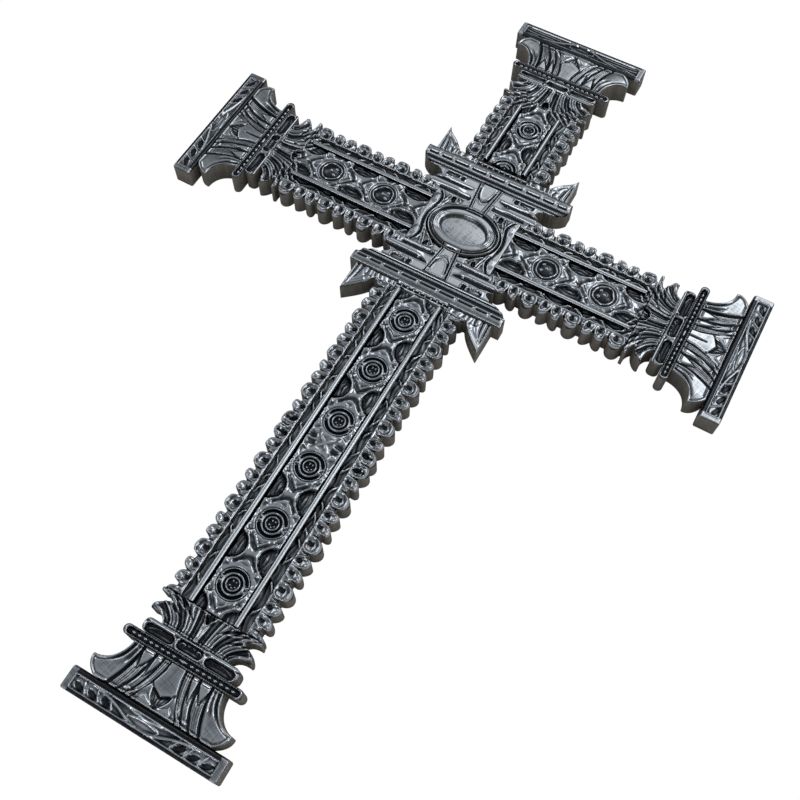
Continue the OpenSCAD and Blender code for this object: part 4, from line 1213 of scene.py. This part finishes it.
def bezel():
    """Oval bezel: a ridge over the plaque, a pale band, and a dark hollow with fine lines at its ends."""
    r = Relief(-44.4, 44.4, -33.6, 33.6, 0.42)
    x, y = r.x, r.y
    outer, inner = (oval_field(x, y, 0, 0, 44.2, 33.4), oval_field(x, y, 0, 0, 28.4, 17.4))
    field = np.maximum(outer, -inner)
    t = np.clip(inner / (inner - outer + 1e-6), 0, 1)
    r.base[:] = FACE + 1.3
    r.base += 1.9 * smooth(-0.02, 0.2, t) - 0.15 * smooth(0.2, 0.6, t)
    r.ring((t - 0.17) / 0.05, 1.0, 0.6)
    r.dark -= 0.5 * smooth(0.14, 0.24, t) * smooth(0.62, 0.56, t)
    r.ring((t - 0.64) / 0.045, 1.0, -1.3)
    hollow = np.sin(np.pi * np.clip((t - 0.66) / 0.3, 0, 1))
    r.base -= 1.5 * hollow + 0.5 * smooth(0.66, 0.9, t)
    r.dark += 0.3 * smooth(0.64, 0.7, t) * smooth(0.96, 0.9, t) + 0.7 * hump(t - 0.64, 0.05)
    r.ring((t - 0.95) / 0.05, 1.0, 1.0)
    ends = smooth(15, 9, np.abs(y)) * smooth(18, 24, x)
    for k in (0.3, 0.44, 0.58, 0.72, 0.84):
        r.ring(t - k, 0.04, 1.3, share=ends)
        r.dark += 0.5 * hump(t - k - 0.07, 0.035) * ends
    tab = box_field(x, np.abs(y), 0, 29.0, 11, 1.7, 0.6)
    r.step_to(tab, 1.2, 0.6)
    r.ring(tab - 0.8, 0.8, -0.9)
    r.dark += 0.8 * hump(tab - 1.0, 0.9)
    casting(r, field, "oval_bezel", 0, FACES, 0.2, bottom=FACE + 0.2)


def plaque():
    """Plain oval plaque, slightly domed and cross-brushed."""
    r = Relief(-28.4, 28.4, -17.4, 17.4, FINE)
    rho = (r.x / 28.2) ** 2 + (r.y / 17.2) ** 2
    field = oval_field(r.x, r.y, 0, 0, 28.3, 17.3)
    r.base[:] = FACE + 0.5
    r.base += 0.4 * np.clip(1 - rho, 0, 1)
    brushed = silver("plaque_silver", low=-3.4, high=-0.1, scratches=0.8, rough=0.26, hatch=5.0)
    casting(r, field, "oval_plaque", 0, [brushed, FACES[1]], 0.3, bottom=FACE - 3)


centre_plate()
bezel()
plaque()
for level, turn in (("upper", 0), ("lower", 180)):
    cornice(level + "_cornice", turn)
    frieze(level + "_frieze", turn)
    keystone(level + "_keystone", turn)
    right = 1 if level == "upper" else -1
    horn(level + "_right_horn", turn, right)
    horn(level + "_left_horn", turn, -right)


# ---- what shows on the back

def repaint(material, *nodes):
    """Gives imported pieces, kept as they are, another material."""
    for name in nodes:
        for slot in frame["nodes"][name].material_slots:
            slot.material = material


ALLOY = plain_material("strip_alloy", (0.13, 0.125, 0.12), (0.22, 0.215, 0.2), 0.9, 0.45)
STEEL = plain_material("screw_steel", (0.42, 0.42, 0.42), (0.58, 0.58, 0.57), 1.0, 0.3)
BRASS = plain_material("socket_brass", (0.48, 0.34, 0.15), (0.62, 0.46, 0.23), 1.0, 0.32)
WOOD = plain_material("core_wood", (0.16, 0.085, 0.04), (0.30, 0.18, 0.09), 0.0, 0.6, (60, 600, 600))
repaint(ALLOY, "back_strip_upright", "back_strips_side")
repaint(STEEL, "cover_screws", "clamp_screw")
repaint(BRASS, "staff_socket")
repaint(WOOD, "core_upright", "core_crossbar")


# ---- floor, light and camera

def floor():
    """Pale floor that stays near white to the eye and only lightly shaded."""
    mesh = bpy.data.meshes.new("floor")
    reach = 6.0
    corners = [(sx * reach, sy * reach, 0) for sx, sy in ((-1, -1), (1, -1), (1, 1), (-1, 1))]
    mesh.from_pydata(corners, [], [(0, 1, 2, 3)])
    obj = put("floor", mesh)
    m = Nodes(bpy.data.materials.new("floor_white"))
    m.shade(Base_Color=(0.86, 0.86, 0.86, 1), Roughness=0.9)
    m.by_camera_ray(m.tree.nodes["Principled BSDF"], m.add("Emission", Strength=1.03), 0.97)
    mesh.materials.append(m.owner)


def lamp(name, place, size, power):
    """Rectangular softbox aimed at the middle of the floor."""
    light = bpy.data.lights.new(name, "AREA")
    light.shape = "RECTANGLE"
    light.size, light.size_y = size
    light.energy = power
    obj = put(name, light)
    obj.location = place
    obj.rotation_euler = (-Vector(place)).to_track_quat("-Z", "Y").to_euler()


def camera():
    """Camera over the foot and to the right, looking down at the cross as it lies on its back."""
    data = bpy.data.cameras.new("camera")
    data.sensor_width = 36
    data.lens = 43.52
    obj = put("camera", data)
    right, up = Vector((0.87205, 0.48934, 0.00904)).normalized(), Vector((-0.44173, 0.77897, 0.44506))
    back = right.cross(up).normalized()
    up = back.cross(right)
    turn = Matrix((right, up, back)).transposed().to_4x4()
    obj.matrix_world = Matrix.Translation((0.1586, -0.2940, 0.5784)) @ turn
    bpy.context.scene.camera = obj


def world():
    """Pale behind the object. What lights it is grey, lighter overhead, for contrast in the metal."""
    scene = bpy.context.scene
    scene.world = bpy.data.worlds.new("studio")
    w = Nodes(scene.world)
    coords = w.add("TexCoord")
    split = w.add("SeparateXYZ", coords.outputs["Generated"])
    greys = [(value * 0.97, value, value * 1.04) for value in (0.035, 0.08, 0.24, 0.29)]
    surround = w.tree.nodes["Background"]
    w.feed(surround.inputs["Color"], w.ramp(split.outputs["Z"], *zip((0, 0.45, 0.7, 1), greys)))
    w.by_camera_ray(surround, w.add("Background", (0.93, 0.94, 0.95, 1)))
    scene.view_settings.view_transform = "Standard"


floor()
camera()
world()
for name, place, size, power in (
        ("key", (0.35, 1.9, 2.4), (1.2, 1.2), 4.2), ("back", (0.0, 2.6, 2.9), (2.6, 1.8), 5.6),
        ("left", (-2.4, 0.6, 1.7), (1.2, 1.6), 7), ("right", (2.4, 0.3, 1.5), (1.2, 1.6), 7),
        ("front", (-0.6, -2.4, 1.3), (1.2, 0.4), 4), ("edge", (1.57, 0.98, 2.36), (0.5, 1.2), 5)):
    lamp(name, place, size, power)
